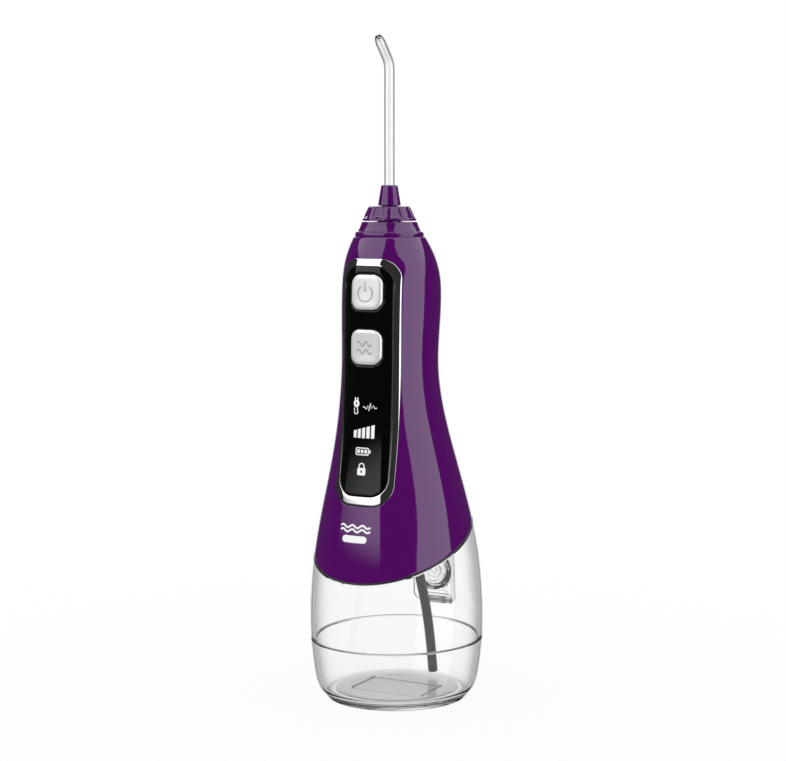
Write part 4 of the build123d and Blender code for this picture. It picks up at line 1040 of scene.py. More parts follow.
@dataclass
class FillDoor:
    """The fill lid on the tank's back: a curved door, its hinge barrel, its thumb lip and its soft plug."""

    wardrobe: Wardrobe
    panel: RoundedPanel = field(default_factory=lambda: RoundedPanel(21.0, 33.1, 57.5, 3.0, back=True))
    borders: tuple = (1.3, 2.6)
    ring_radius: float = 8.6
    bead_height: float = 0.65
    bead_width: float = 0.24

    def leaf(self) -> bpy.types.Object:
        """The curved door with two raised borders and a raised ring, each a bead h exp(-(d / w)^2) high."""
        outline = self.panel.outline(180)
        points, faces = triangulate([outline], 0.17, lambda p: -self.panel.distance(p[:, 0], p[:, 1]))
        depth = -self.panel.distance(points[:, 0], points[:, 1])
        ring = np.hypot(points[:, 0], points[:, 1] - FILL_HEIGHT)
        lines = [depth - border for border in self.borders] + [ring - self.ring_radius]
        bead = self.bead_height * np.exp(-(np.min(np.abs(lines), axis=0) / self.bead_width) ** 2)
        count = len(points)

        def lay(flat: np.ndarray, proud: np.ndarray) -> np.ndarray:
            """Lays the door's faces on the back wall, the outer one with its beads."""
            raised = proud + np.where(proud > -0.6, bead[:count], 0.0)
            return self.panel.place(flat, raised)

        return sheet_object("fill_door", points, faces, lay, -0.1, -1.05, 0.1)

    def barrel(self) -> bpy.types.Object:
        """The hinge barrel between the tank's ears, and the thumb lip at the top."""
        knuckle = pin_along_x("knuckle", -3.95, 3.95, HINGE_Y, HINGE_Z, HINGE_RADIUS, HINGE_END)
        lip = RoundedPanel(9.0, 54.1, 56.1, 0.95, back=True)
        section = [(0.95, -0.3), (0.0, -0.3), (0.0, 0.35), (0.25, 0.6), (0.95, 0.65)]
        rows = [lip.place(lip.outline(80, d), proud) for d, proud in section]
        ridge = grid_object("ridge", np.array(rows), cap_first=True, cap_last=True)
        return join("fill_door_barrel", [knuckle, ridge])

    def bars(self) -> bpy.types.Object:
        """Two low rounded frames across the door above its hinge."""
        parts = []
        for low in (35.6, 38.5):
            bar = RoundedPanel(11.6, low, low + 2.1, 0.8, back=True)
            section = [(0.0, -0.2), (0.0, 0.25), (0.15, 0.45), (0.35, 0.45), (0.5, 0.25), (0.5, -0.2)]
            rows = [bar.place(bar.outline(96, draw_in), proud) for draw_in, proud in section]
            parts.append(grid_object("bar", np.array(rows), wrap_rows=True))
        return join("fill_door_bars", parts)

    def plug(self) -> bpy.types.Object:
        """The soft plug: a tapered cup with a sealing bead, about the fill hole's axis."""
        turn = np.linspace(0.0, 2.0 * np.pi, 96, endpoint=False)
        outline = [(0.1, 43.2), (6.6, 43.2), (6.95, 43.0), (6.9, 42.6), (6.35, 42.0), (6.55, 41.5), (6.2, 41.0),
                   (5.7, 40.2), (5.1, 40.1), (4.9, 40.4), (4.75, 41.6), (3.75, 41.8), (3.6, 40.7), (3.45, 40.5),
                   (3.1, 40.5), (2.95, 40.7), (2.8, 41.8), (1.7, 41.8), (1.55, 40.7), (1.4, 40.5), (1.0, 40.5),
                   (0.85, 40.7), (0.75, 41.6), (0.1, 41.6)]
        rows = [np.stack([r * np.cos(turn), np.full(96, y), FILL_HEIGHT + r * np.sin(turn)], -1)
                for r, y in outline]
        return grid_object("fill_plug", np.array(rows), cap_first=True, cap_last=True)

    def build(self) -> None:
        """Makes and dresses the fill lid."""
        leaf, barrel, bars, plug = self.leaf(), self.barrel(), self.bars(), self.plug()
        for piece in (leaf, barrel):
            self.wardrobe.dress(piece, Slot.LID_CLEAR, "clear_tank")
        self.wardrobe.dress(bars, Slot.PLUG_CLEAR, "clear_tank")
        self.wardrobe.dress(plug, Slot.PLUG_CLEAR, "clear_silicone")
        for piece in (leaf, barrel, bars, plug):
            let_light_through(piece)
            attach(piece, "fill_lid")
            log.info("fill lid: %s", piece.name)
        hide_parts("fill_lid")
        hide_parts("lid_plug")


@dataclass
class Shell:
    """The handle's glossy shell, the seal line under it and the cover of its charging port."""

    wardrobe: Wardrobe
    wall: float = 2.0
    roof: float = 190.0
    top: float = 194.5
    seat_hole: float = 6.3
    socket_height: float = 110.5
    socket_radius: float = 4.05
    panel_recess: float = 1.4
    port_recess: float = 1.0
    panel: RoundedPanel = field(default_factory=lambda: RoundedPanel(27.2, 85.0, 185.8, 8.5))
    port: RoundedPanel = field(default_factory=lambda: RoundedPanel(11.5, 103.75, 118.2, 3.25, back=True))

    def recess(self, points: np.ndarray, inset: float) -> np.ndarray:
        """How far the outer skin is sunk behind the control panel and the port's cover."""
        x, y, z = points[..., 0], points[..., 1], points[..., 2]
        behind_panel = smooth_step(-self.panel.distance(x, z), 0.5, 1.5) * (y < 0)
        behind_port = smooth_step(-self.port.distance(x, z), -0.1, 0.4) * (y > 0)
        return inset + self.panel_recess * behind_panel + self.port_recess * behind_port

    def skin(self) -> bpy.types.Object:
        """Outer skin, roof, inner skin and bottom rim in one closed surface, with the charging socket's hole."""
        around = np.linspace(0.0, 2.0 * np.pi, 360, endpoint=False)
        rows = []
        bottom = [(0.35, 0.0), (0.1, 0.08), (0.0, 0.3)]
        outer = bottom + [(0.0, share) for share in np.linspace(0.7, 99.3, 190)] + [(0.0, 99.8)]
        for inset, share in outer:
            low = FORM.split(around, np.full(around.shape, inset))
            height = low + (self.top - low) * share / 100.0
            spot = FORM.point(around, height, inset)
            rows.append(FORM.point(around, height, self.recess(spot, inset)))
        for radius, height in ((14.6, self.top), (13.0, self.top), (10.0, self.top), (self.seat_hole, self.top),
                               (self.seat_hole, self.roof), (9.0, self.roof)):
            ring = [radius * np.cos(around), radius * np.sin(around), np.full(around.shape, height)]
            rows.append(np.stack(ring, -1))
        for share in np.concatenate([[100.0], np.linspace(96.0, 1.0, 50), [0.0]]):
            low = FORM.split(around, np.full(around.shape, self.wall))
            height = low + (self.roof - low) * share / 100.0
            rows.append(FORM.point(around, height, self.wall))
        piece = grid_object("handle_shell", np.array(rows), wrap_rows=True)
        cut(piece, bar_along_y("socket_cutter", circle(0.0, self.socket_height, self.socket_radius), 15.0, 40.0))
        sharpen(piece, 50.0)
        return piece

    def seal(self) -> bpy.types.Object:
        """The black seal between the handle and the tank's rim, with a rounded edge."""
        rows = []
        for inset, lift in ((0.4, -0.9), (0.15, -0.75), (0.08, -0.45), (0.15, -0.15), (0.4, 0.0), (2.4, 0.0),
                            (2.5, -0.1), (2.5, -0.8), (2.4, -0.9)):
            height = FORM.split(AROUND, np.full(AROUND.shape, inset), lift)
            rows.append(FORM.point(AROUND, height, inset))
        return grid_object("mouth_seal_ring", np.array(rows), wrap_rows=True)

    def cover(self) -> bpy.types.Object:
        """The charging port's cover with a finger tab, hinged at its top."""
        flap = RoundedPanel(11.0, 104.0, 117.0, 3.0, back=True)
        points, faces = triangulate([flap.outline(140)], 0.6, lambda p: -flap.distance(p[:, 0], p[:, 1]))
        depth = -flap.distance(points[:, 0], points[:, 1])
        tab = 0.45 * np.exp(-((points[:, 1] - 106.2) / 0.5) ** 2) * smooth_step(3.4 - np.abs(points[:, 0]), 0.0, 1.0)
        crown = 0.25 * smooth_step(depth, 0.0, 1.2) + tab

        def lay(flat: np.ndarray, proud: np.ndarray) -> np.ndarray:
            """Lays the cover on the back wall, its outside crowned."""
            return flap.place(flat, proud + np.where(proud > -0.3, crown, 0.0))

        leaf = sheet_object("leaf", points, faces, lay, 0.02, -0.7, 0.12)
        pivot = pin_along_x("pivot", -3.0, 3.0, PORT_HINGE_Y, PORT_HINGE_Z, PORT_HINGE_RADIUS, PORT_HINGE_END, 40)
        return join("port_cover_flap", [leaf, pivot])

    def build(self) -> None:
        """Makes and dresses the shell."""
        skin, seal, cover = self.skin(), self.seal(), self.cover()
        self.wardrobe.dress(skin, Slot.PURPLE_SHELL)
        self.wardrobe.dress(seal, Slot.BLACK_RUBBER)
        self.wardrobe.dress(cover, Slot.PURPLE_SHELL)
        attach(skin, "handle")
        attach(seal, "handle")
        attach(cover, "port_cover")
        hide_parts("housing")
        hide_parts("mouth_seal")
        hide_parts("port_cover")
        for piece in (skin, seal, cover):
            log.info("shell: %s", piece.name)


@dataclass
class ControlPanel:
    """The front panel: a polished frame, a black lens, two satin buttons and the printed symbols."""

    wardrobe: Wardrobe
    frame_outline: RoundedPanel = field(default_factory=lambda: RoundedPanel(27.2, 85.0, 185.8, 8.5))
    lens_outline: RoundedPanel = field(default_factory=lambda: RoundedPanel(22.6, 89.0, 182.7, 7.0))
    button_heights: dict = field(default_factory=lambda: {"power_button": 172.3, "mode_button": 149.9})
    button_width: float = 14.2
    button_corner: float = 4.2
    button_gap: float = 0.2
    lens_top: float = 0.06
    button_top: float = 0.8
    button_hollow: float = 0.12
    mark: tuple = (0.55, 0.86)
    mark_stroke: float = 0.75
    shell_print: tuple = (-0.03, 0.05)

    def frame(self) -> bpy.types.Object:
        """The polished frame: a section carried from the outer outline to the lens's own outline."""
        count = 400
        outer, inner = self.frame_outline.outline(count), self.lens_outline.outline(count, -0.08)
        section = [(0.0, -1.15), (0.0, 0.04), (0.008, 0.08), (0.03, 0.1), (0.3, 0.105), (0.6, 0.105), (0.94, 0.1),
                   (0.97, 0.085), (0.99, 0.05), (1.0, 0.0), (1.0, -1.15)]
        rows = [self.frame_outline.place(outer * (1.0 - t) + inner * t, proud) for t, proud in section]
        return grid_object("panel_frame", np.array(rows), wrap_rows=True)

    def button_outline(self, name: str) -> RoundedPanel:
        """The outline of one button."""
        height, half = self.button_heights[name], self.button_width / 2
        return RoundedPanel(self.button_width, height - half, height + half, self.button_corner)

    def lens(self) -> bpy.types.Object:
        """The black lens with its two button holes."""
        buttons = [self.button_outline(name) for name in self.button_heights]

        def depth(points: np.ndarray) -> np.ndarray:
            """How deep inside the lens and outside the holes a point lies."""
            x, z = points[:, 0], points[:, 1]
            away = [button.distance(x, z) - self.button_gap for button in buttons]
            return np.minimum(-self.lens_outline.distance(x, z), np.minimum(*away))

        loops = [self.lens_outline.outline(360)] + [button.outline(120, -self.button_gap) for button in buttons]
        points, faces = triangulate(loops, 0.8, depth)
        return sheet_object("display_lens", points, faces, self.lens_outline.place, self.lens_top, -0.8, 0.06)

    def button(self, name: str) -> bpy.types.Object:
        """A button with a softly rounded edge, its middle a little hollow."""
        outline = self.button_outline(name)
        edge = [(0.0, -1.4), (0.0, 0.12), (0.05, 0.3), (0.16, 0.47), (0.34, 0.62), (0.6, 0.73), (0.95, 0.79),
                (1.4, self.button_top)]
        rows = [outline.place(outline.outline(160, draw_in), proud) for draw_in, proud in edge]
        middle = np.array([0.0, self.button_heights[name]])
        last = outline.outline(160, 1.4)
        for share in (0.85, 0.7, 0.52, 0.34, 0.16):
            top = self.button_top - self.button_hollow * (1 - share**2)
            rows.append(outline.place(middle + (last - middle) * share, top))
        return grid_object(name + "_cap", np.array(rows), cap_first=True, cap_last=True)

    def print_symbol(self, name: str, loops: list, low: float, high: float,
                     spacing: float = 0.35) -> bpy.types.Object:
        """A flat symbol laid on the front.

        Args:
            name: the piece's name.
            loops: its closed outlines and holes.
            low: how proud its back lies.
            high: how proud its face stands.
            spacing: how far apart the points inside are.

        Returns:
            The thin closed piece.
        """
        points, faces = triangulate(loops, spacing, inside_loops(loops))
        return sheet_object(name, points, faces, self.lens_outline.place, high, low, 0.25 * (high - low))

    def power_mark(self) -> list:
        """A ring open at the top with a bar in the opening, raised on the upper button."""
        middle = self.button_heights["power_button"]
        turn = np.radians(np.linspace(125.0, 415.0, 60))
        ring = stroke(np.stack([3.3 * np.cos(turn), middle - 0.4 + 3.3 * np.sin(turn)], -1), self.mark_stroke)
        bar = stroke([(0.0, middle + 0.4), (0.0, middle + 2.4), (0.0, middle + 4.4)], self.mark_stroke)
        return [self.print_symbol(f"power_mark_{part}", [loop], *self.mark)
                for part, loop in (("ring", ring), ("bar", bar))]

    def mode_mark(self) -> list:
        """Two humps of a wave, raised on the lower button."""
        middle = self.button_heights["mode_button"]
        x = np.linspace(-3.3, 3.3, 60)
        waves = [stroke(np.stack([x, middle + lift + 1.1 * np.sin(x / 3.3 * 2 * np.pi)], -1), self.mark_stroke)
                 for lift in (-1.6, 1.6)]
        return [self.print_symbol(f"mode_mark_{index}", [loop], *self.mark) for index, loop in enumerate(waves)]

    def icons(self) -> list:
        """The printed symbols on the lens: plug, pulse, water level bars, battery and lock."""
        low, high = self.lens_top - 0.05, self.lens_top + 0.05

        def box(x: float, z: float, width: float, height: float, corner: float) -> np.ndarray:
            """The outline of a small rounded box, centred on x and standing on z."""
            return RoundedPanel(width, z, z + height, corner).outline(40) + (x, 0.0)

        bend = np.linspace(0.0, np.pi, 16)
        pieces = []
        tail = [(-3.4, 125.2)] + [(-3.95 + 0.95 * math.cos(t), 123.3 - 0.85 * math.sin(t)) for t in bend[2:-2]]
        tail += [(-4.9, 125.0)]
        plug = [box(-4.5, 128.0, 0.6, 1.2, 0.15), box(-3.2, 128.0, 0.6, 1.2, 0.15)]
        around = np.linspace(0, 2 * np.pi, 48, endpoint=False)
        head = np.stack([-3.85 + 1.5 * np.cos(around), 126.7 + 1.55 * np.sin(around)], -1)
        pieces.append(self.print_symbol("icon_plug_head", [head, box(-3.85, 126.2, 0.7, 1.0, 0.15)], low, high, 0.3))
        pieces += [self.print_symbol(f"icon_plug_prong_{i}", [loop], low, high, 0.25) for i, loop in enumerate(plug)]
        pieces.append(self.print_symbol("icon_plug_cord", [stroke(tail, 0.42)], low, high, 0.2))
        pulse = [(-0.6, 125.6), (0.3, 125.3), (1.0, 124.6), (1.6, 126.2), (2.1, 123.9), (2.9, 127.2), (3.4, 124.9),
                 (4.1, 126.2), (4.7, 125.0), (5.5, 125.2)]
        pieces.append(self.print_symbol("icon_pulse", [stroke(pulse, 0.45)], low, high, 0.2))
        for index in range(5):
            x, top = -4.1 + 2.05 * index, 115.8 + 0.58 * index
            bar = np.array([(x - 0.72, 112.7), (x + 0.72, 112.7), (x + 0.72, top + 0.2), (x - 0.72, top - 0.2)])
            pieces.append(self.print_symbol(f"icon_level_{index}", [bar], low, high, 0.5))
        case = [box(-0.3, 105.7, 6.2, 3.2, 0.6), box(-0.3, 106.15, 5.3, 2.3, 0.3)]
        pieces.append(self.print_symbol("icon_battery_case", case, low, high, 0.3))
        for index in range(3):
            cell = box(-1.95 + 1.65 * index, 106.55, 1.2, 1.5, 0.12)
            pieces.append(self.print_symbol(f"icon_battery_cell_{index}", [cell], low, high, 0.4))
        pieces.append(self.print_symbol("icon_battery_nub", [box(3.25, 106.6, 0.6, 1.4, 0.15)], low, high, 0.25))
        body = [box(-0.1, 97.6, 3.8, 3.0, 0.45), box(-0.1, 98.6, 0.7, 1.1, 0.3)]
        pieces.append(self.print_symbol("icon_lock_body", body, low, high, 0.3))
        shackle = [(-1.25, 100.5), (-1.25, 101.3)] + [(-0.1 - 1.15 * math.cos(t), 101.3 + 1.15 * math.sin(t))
                                                      for t in bend[1:-1]] + [(1.05, 101.3), (1.05, 100.5)]
        pieces.append(self.print_symbol("icon_lock_shackle", [stroke(shackle, 0.5)], low, high, 0.2))
        return pieces

    def shell_prints(self) -> list:
        """A plain wave mark and a blank label under the panel, printed on the shell."""
        x = np.linspace(-8.0, 6.0, 90)
        waves = [np.stack([x, 76.9 - 1.7 * row + 0.55 * np.sin((x + 8.0) / 14.0 * 6 * np.pi)], -1)
                 for row in range(2)]
        pieces = [self.print_symbol(f"wave_mark_{row}", [stroke(line, 0.8)], *self.shell_print, 0.3)
                  for row, line in enumerate(waves)]
        label = RoundedPanel(11.5, 70.3, 73.2, 1.4).outline(80) + (-1.0, 0.0)
        pieces.append(self.print_symbol("blank_label", [label], *self.shell_print, 0.5))
        return pieces

    def build(self) -> None:
        """Makes and dresses the panel."""
        dress = self.wardrobe.dress
        surround, lens = dress(self.frame(), Slot.BEZEL_METAL), dress(self.lens(), Slot.BLACK_LENS)
        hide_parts("panel_bezel")
        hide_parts("display_panel")
        on_handle = [surround, lens]
        for piece in self.icons() + self.shell_prints():
            on_handle.append(dress(piece, Slot.SYMBOL_WHITE, "white_plastic"))
        for piece in on_handle:
            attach(piece, "handle")
        for name, marks in (("power_button", self.power_mark()), ("mode_button", self.mode_mark())):
            cap = dress(self.button(name), Slot.SILVER_BUTTON)
            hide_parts(name)
            # The symbols take the darker silver, a painted shade for their embossing.
            for piece in [cap] + [dress(mark, Slot.BUTTON_MARK, "silver_button") for mark in marks]:
                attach(piece, name)
        log.info("control panel: %d pieces on the handle", len(on_handle))


@dataclass
class Head:
    """The top of the handle: its collar, the turning knob, and the jet tip with its hub."""

    wardrobe: Wardrobe
    knob_low: float = 201.0
    knob_high: float = 207.0
    knob_low_radius: float = 11.3
    knob_high_radius: float = 8.1
    flutes: int = 8
    flute_depth: float = 0.75
    tube_foot: float = 196.0
    tube_radius: float = 2.15
    bore: float = 0.3
    bend_height: float = 265.4
    bend_radius: float = 7.0
    end: tuple = (-9.6, 275.6)
    nose_radius: float = 1.6
    nose_length: float = 3.5

    def collar(self) -> bpy.types.Object:
        """The collar: a bead at its foot, a step and a slightly hollow cone."""
        profile = rounded_profile([(6.4, 194.55, 0.1), (14.4, 194.55, 0.08), (14.35, 195.8, 0.4), (14.0, 196.5, 0.4),
                                   (13.3, 196.6, 0.15), (12.2, 198.7, 1.5), (11.55, 200.6, 0.25), (6.4, 200.6, 0.1)],
                                  7)
        return lathe("collar", profile, 240)

    def knob(self) -> bpy.types.Object:
        """The knob: a cone with broad flutes, r = cone - depth sqrt(1 - (u / 0.3)^2), and a bore for the tip."""
        around = np.linspace(0.0, 2.0 * np.pi, 480, endpoint=False)
        sector = (around * self.flutes / (2 * np.pi) + 0.5) % 1.0 - 0.5
        scallop = np.sqrt(np.clip(1.0 - (sector / 0.31) ** 2, 0.0, 1.0))
        low, high = self.knob_low, self.knob_high
        shape = [(3.05, 186.2, 0.0), (4.75, 186.2, 0.0), (4.95, 186.4, 0.0), (4.95, low - 0.1, 0.0), (5.3, low, 0.0),
                 (self.knob_low_radius - 0.3, low, 0.0), (self.knob_low_radius, low + 0.25, 0.0),
                 (self.knob_low_radius - 0.1, low + 0.9, 0.0)]
        for share in np.linspace(0.16, 0.9, 16):
            radius = self.knob_low_radius + (self.knob_high_radius + 0.5 - self.knob_low_radius) * share
            shape.append((radius, low + (high - low) * share, smooth_step(share, 0.1, 0.35)))
        shape += [(self.knob_high_radius + 0.25, high - 0.3, 1.0), (self.knob_high_radius - 0.15, high - 0.06, 1.0),
                  (self.knob_high_radius - 0.6, high, 0.9), (6.6, high, 0.2), (5.2, high - 0.05, 0.0),
                  (3.3, high - 0.05, 0.0), (3.05, high - 0.3, 0.0)]
        rows = []
        for radius, height, depth in shape:
            reach = radius - self.flute_depth * depth * scallop
            rows.append(np.stack([reach * np.cos(around), reach * np.sin(around), np.full(around.shape, height)], -1))
        piece = grid_object("turning_knob", np.array(rows), wrap_rows=True)
        sharpen(piece, 50.0)
        return piece

    def hub(self) -> bpy.types.Object:
        """The tip's cone-shaped hub, its shank and its bore."""
        profile = rounded_profile([(2.2, 190.0, 0.0), (2.9, 190.0, 0.3), (2.9, 206.9, 0.1), (4.3, 207.25, 0.1),
                                   (4.75, 207.3, 0.2), (4.65, 208.1, 0.2), (3.5, 215.2, 0.6), (3.15, 215.65, 0.15),
                                   (2.2, 215.6, 0.0)], 7)
        return lathe("tip_cone", profile, 160)

    def path(self) -> tuple:
        """The jet tube's centre line: straight, an arc of the bend's radius, straight.

        Returns:
            Points as (n, 2) of y and z, and the (n, 2) normals in that plane.
        """
        run = np.array(self.end) - (0.0, self.bend_height)
        length = np.linalg.norm(run)
        turn = math.atan2(-run[0], run[1])
        tangent = self.bend_radius * math.tan(turn / 2)
        straight = np.linspace(self.tube_foot, self.bend_height - tangent, 40)
        arc = np.linspace(0.0, turn, 24)[1:]
        y = np.concatenate([np.zeros(40), -self.bend_radius * (1 - np.cos(arc))])
        z = np.concatenate([straight, self.bend_height - tangent + self.bend_radius * np.sin(arc)])
        angle = np.concatenate([np.zeros(40), arc])
        rest = np.linspace(0.0, length - tangent, 12)[1:]
        y = np.concatenate([y, y[-1] - rest * math.sin(turn)])
        z = np.concatenate([z, z[-1] + rest * math.cos(turn)])
        angle = np.concatenate([angle, np.full(11, turn)])
        line = np.stack([y, z], -1)
        normal = np.stack([np.cos(angle), np.sin(angle)], -1)
        return line, normal

    def tube(self) -> bpy.types.Object:
        """The clear tube: an outer skin that narrows to the nose, a rounded lip and the bore."""
        line, normal = self.path()
        left = np.linalg.norm(line - line[-1], axis=1)
        outer = np.where(left < self.nose_length,
                         self.nose_radius + (self.tube_radius - self.nose_radius)
                         * smooth_step(left, 0.0, self.nose_length), self.tube_radius)
        outer[-1] -= 0.25
        around = np.linspace(0.0, 2.0 * np.pi, 64, endpoint=False)

        def ring(index: int, radius: float) -> np.ndarray:
            """One ring of the tube at a point of its line."""
            y = line[index, 0] + radius * np.sin(around) * normal[index, 0]
            z = line[index, 1] + radius * np.sin(around) * normal[index, 1]
            return np.stack([radius * np.cos(around), y, z], -1)

        count = len(line)
        bore = np.full(count, self.bore)
        bore[-4:] = (0.3, 0.3, 0.4, 0.4)
        rows = [ring(i, outer[i]) for i in range(count)] + [ring(i, bore[i]) for i in range(count - 1, -1, -1)]
        return grid_object("clear_tube", np.array(rows), wrap_rows=True)

    def build(self) -> None:
        """Makes and dresses the head."""
        collar, knob, hub, tube = self.collar(), self.knob(), self.hub(), self.tube()
        for piece, body, node in ((collar, "handle", "top_ring"), (knob, "knob", "rotation_knob"),
                                  (hub, "tip", "tip_hub")):
            self.wardrobe.dress(piece, Slot.PURPLE_SHELL)
            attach(piece, body)
            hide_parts(node)
            log.info("head: %s", piece.name)
        self.wardrobe.dress(tube, Slot.CLEAR_TIP)
        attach(tube, "tip")
        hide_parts("jet_tip")


@dataclass
class SuctionHose:
    """The dark hose that hangs from the handle into the tank."""

    wardrobe: Wardrobe
    radius: float = 2.1
    length: float = 68.0
    route: tuple = ((5.0, 13.0, 70.0), (5.0, 13.0, 62.3), (5.0, 15.9, 53.9), (5.0, 19.6, 45.4), (5.0, 23.3, 36.5),
                    (5.0, 26.5, 26.6), (5.0, 29.1, 15.6), (5.0, 31.0, 4.8))

    def build(self) -> None:
        """Makes the hose as one smooth line with a round bevel."""
        curve = bpy.data.curves.new("tank_hose", "CURVE")
        curve.dimensions = "3D"
        curve.bevel_depth = self.radius * MM
        curve.bevel_resolution = 8
        curve.resolution_u = 16
        curve.use_fill_caps = True
        line = curve.splines.new("NURBS")
        line.points.add(len(self.route) - 1)
        for point, spot in zip(line.points, self.route):
            point.co = (*(value * MM for value in spot), 1.0)
        line.order_u = 3
        line.use_endpoint_u = True
        hose = bpy.data.objects.new("tank_hose", curve)
        bpy.context.scene.collection.objects.link(hose)
        self.wardrobe.dress(hose, Slot.DARK_HOSE)
        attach(hose, "handle")
        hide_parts("suction_hose")
        tuple(value * MM for value in self.route[0])
        log.info("hose: %s", hose.name)


class Works:
    """The parts inside, which keep their CAD shape and get the finish of their slot."""

    def __init__(self, wardrobe: Wardrobe) -> None:
        """Keeps the wardrobe."""
        self.wardrobe = wardrobe

    def build(self) -> None:
        """Dresses each CAD node by the slot that its record row names."""
        finishes = slots_by_node()
        for name, node in frame["nodes"].items():
            self.wardrobe.dress_node(node, finishes[name])
        log.info("inside parts: %d nodes dressed", len(finishes))


def slots_by_node() -> dict:
    """The slot of each CAD node, as the record's sub-part rows give it."""
    return {row["node"]: row["material_slot"] for row in frame["record"]["subparts"]}


# ---------------------------------------------------------------- studio
@dataclass(frozen=True)
class Softbox:
    """A bright sheet that only glossy surfaces see, wider towards its top.

    Each row of edges is (elevation, azimuth from, azimuth to) in degrees as seen from the object's
    middle, with azimuth 0 at the camera and positive to its right. Its light comes up from nothing over
    the lowest fade degrees.
    """

    name: str
    edges: tuple
    radiance: float = 2.5
    reach: float = 3.0
    fade: float = 0.0
    rows: int = 60
    columns: int = 32

    def build(self, turn: float, middle: float) -> bpy.types.Object:
        """Makes the sheet: a grid over elevation and azimuth on a sphere of radius reach.

        Args:
            turn: the camera's bearing in degrees.
            middle: the height of the sphere's centre.

        Returns:
            The sheet, which counts as part of the stage.
        """
        table = np.array(self.edges, float)
        elevation = np.linspace(table[0, 0], table[-1, 0], self.rows)
        first, last = (np.interp(elevation, table[:, 0], table[:, column]) for column in (1, 2))
        share = np.linspace(0.0, 1.0, self.columns)
        bearing = np.radians(turn + first[:, None] + (last - first)[:, None] * share)
        lift = np.radians(elevation)[:, None]
        points = np.stack(np.broadcast_arrays(self.reach * np.sin(bearing) * np.cos(lift),
                                              -self.reach * np.cos(bearing) * np.cos(lift),
                                              middle + self.reach * np.sin(lift)), -1)
        sheet = new_object(self.name, points / MM, grid_faces(self.rows, self.columns, False, False))
        material = bpy.data.materials.new(self.name)
        material.use_nodes = True
        shader = material.node_tree.nodes["Principled BSDF"]
        shader.inputs["Base Color"].default_value = (0.0, 0.0, 0.0, 1.0)
        shader.inputs["Emission Color"].default_value = (1.0, 1.0, 1.0, 1.0)
        shader.inputs["Emission Strength"].default_value = self.radiance
        if self.fade:
            glow = smooth_step(elevation, elevation[0], elevation[0] + self.fade) * self.radiance
            rise = sheet.data.attributes.new("glow", "FLOAT", "POINT")
            rise.data.foreach_set("value", np.repeat(glow, self.columns).astype(np.float32))
            source = material.node_tree.nodes.new("ShaderNodeAttribute")
            source.attribute_name = "glow"
            material.node_tree.links.new(source.outputs["Fac"], shader.inputs["Emission Strength"])
        sheet.data.materials.append(material)
        sheet.visible_camera = False
        sheet.visible_diffuse = False
        sheet.visible_transmission = False
        sheet.visible_shadow = False
        sheet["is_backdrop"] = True
        return sheet


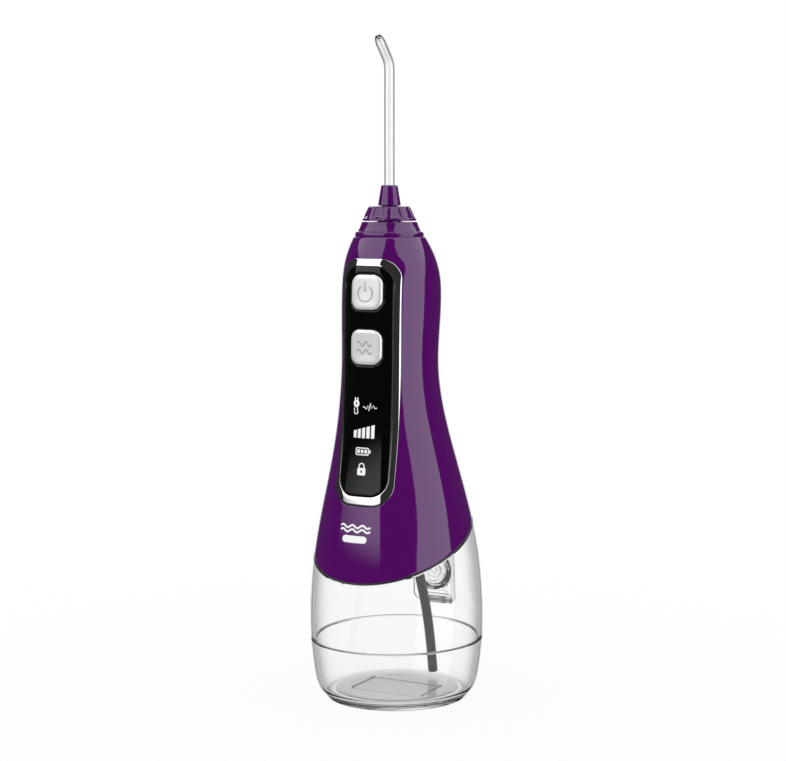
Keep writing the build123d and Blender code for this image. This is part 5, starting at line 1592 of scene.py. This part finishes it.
@dataclass
class Studio:
    """A white room: a pale floor, even white light, bright sheets for the reflections, and the camera."""

    camera_lens: float = 87.48
    sensor: float = 36.0
    camera_place: tuple = (0.3791, -0.6976, 0.2132)
    camera_tilt: float = 5.664
    camera_turn: float = 28.415
    middle: float = 0.12
    softboxes: tuple = (
        Softbox("left_box", ((1, -90, -20), (5, -92, -17), (9, -92, -19), (14, -92, -22), (20, -90, -20),
                             (31, -118, -16), (45, -125, -12), (78, -125, -12)), fade=9.0),
        Softbox("right_box", ((-30, 30, 82), (4, 34, 88), (14, 43, 98), (20, 44, 108), (31, 29, 136), (45, 24, 138),
                              (78, 24, 138))),
        Softbox("back_box", ((-30, 158, 202), (78, 158, 202)), radiance=1.2),
        Softbox("top_box", ((79, -180, 180), (90, -180, 180))),
    )
    room_light: float = 1.0
    glossy_light: float = 0.05
    glass_dimming: float = 0.5
    floor_glow: float = 0.55
    floor_size: float = 30.0

    def dimming(self, tree: bpy.types.NodeTree) -> tuple:
        """Nodes that dim what is seen through clear plastic after each reflection inside it.

        Args:
            tree: the node tree that they go in.

        Returns:
            The Light Path node and the socket with glass_dimming to the power of the reflections met.
        """
        path = tree.nodes.new("ShaderNodeLightPath")
        power = tree.nodes.new("ShaderNodeMath")
        power.operation = "POWER"
        power.inputs[0].default_value = self.glass_dimming
        tree.links.new(path.outputs["Glossy Depth"], power.inputs[1])
        return path, power.outputs["Value"]

    def floor(self) -> None:
        """A wide pale floor with a matt finish and a faint glow that softens shadows."""
        size = self.floor_size
        mesh = bpy.data.meshes.new("floor")
        mesh.from_pydata([(-size, -size, 0), (size, -size, 0), (size, size, 0), (-size, size, 0)], [], [(0, 1, 2, 3)])
        piece = bpy.data.objects.new("floor", mesh)
        bpy.context.scene.collection.objects.link(piece)
        material = bpy.data.materials.new("floor_white")
        material.use_nodes = True
        tree = material.node_tree
        shader = tree.nodes["Principled BSDF"]
        base = 1.0 - self.floor_glow
        shader.inputs["Base Color"].default_value = (base, base, base, 1.0)
        shader.inputs["Emission Color"].default_value = (1.0, 1.0, 1.0, 1.0)
        shader.inputs["Roughness"].default_value = 1.0
        shader.inputs["Specular IOR Level"].default_value = 0.0
        _, dim = self.dimming(tree)
        glow = tree.nodes.new("ShaderNodeMath")
        glow.operation = "MULTIPLY"
        glow.inputs[1].default_value = self.floor_glow
        tree.links.new(dim, glow.inputs[0])
        tree.links.new(glow.outputs["Value"], shader.inputs["Emission Strength"])
        mesh.materials.append(material)
        piece.visible_glossy = False
        piece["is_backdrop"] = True

    def world(self) -> None:
        """Even white light for everything but plain reflections, which see a dark room."""
        world = bpy.data.worlds.new("room")
        bpy.context.scene.world = world
        world.use_nodes = True
        nodes, links = world.node_tree.nodes, world.node_tree.links
        background = nodes["Background"]
        path, dim = self.dimming(world.node_tree)
        reflection = nodes.new("ShaderNodeMath")
        reflection.operation = "SUBTRACT"
        reflection.use_clamp = True
        links.new(path.outputs["Is Glossy Ray"], reflection.inputs[0])
        links.new(path.outputs["Is Transmission Ray"], reflection.inputs[1])
        level = nodes.new("ShaderNodeMapRange")
        level.inputs["To Max"].default_value = self.glossy_light
        links.new(reflection.outputs["Value"], level.inputs["Value"])
        seen = nodes.new("ShaderNodeMix")
        seen.data_type = "FLOAT"
        seen.inputs["A"].default_value = self.room_light
        links.new(path.outputs["Is Transmission Ray"], seen.inputs["Factor"])
        links.new(dim, seen.inputs["B"])
        links.new(seen.outputs["Result"], level.inputs["To Min"])
        links.new(level.outputs["Result"], background.inputs["Strength"])
        background.inputs["Color"].default_value = (1.0, 1.0, 1.0, 1.0)

    def camera(self) -> None:
        """The camera, level with the upper handle and a little to the object's left."""
        data = bpy.data.cameras.new("camera")
        data.lens = self.camera_lens
        data.sensor_width = self.sensor
        data.clip_start, data.clip_end = 0.01, 100.0
        camera = bpy.data.objects.new("camera", data)
        camera.location = self.camera_place
        camera.rotation_euler = (math.radians(90.0 - self.camera_tilt), 0.0, math.radians(self.camera_turn))
        bpy.context.scene.collection.objects.link(camera)
        bpy.context.scene.camera = camera

    def build(self) -> None:
        """Sets the stage."""
        self.camera()
        self.floor()
        self.world()
        for box in self.softboxes:
            box.build(self.camera_turn, self.middle)
        scene = bpy.context.scene
        scene.view_settings.view_transform = "Standard"
        scene.cycles.max_bounces = 24
        scene.cycles.transmission_bounces = 24
        scene.cycles.transparent_max_bounces = 24
        scene.cycles.glossy_bounces = 8
        log.info("studio: %d bright sheets", len(self.softboxes))


def write_sizes() -> None:
    """Works out the CAD model's box and the visual model's box as plain lists."""
    boxes = {"cad": CAD_BOX, "visual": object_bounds()}
    plain = {name: [[float(value) for value in corner] for corner in box] for name, box in boxes.items()}


def main() -> None:
    """Builds the flosser from its sub-assemblies and sets the stage."""
    logging.basicConfig(level=logging.INFO, format="%(name)s: %(message)s")
    wardrobe = Wardrobe()
    Studio().build()
    Works(wardrobe).build()
    for assembly in (SuctionHose, Tank, FillDoor, Shell, ControlPanel, Head):
        assembly(wardrobe).build()
    write_sizes()


if __name__ == "__main__":
    main()
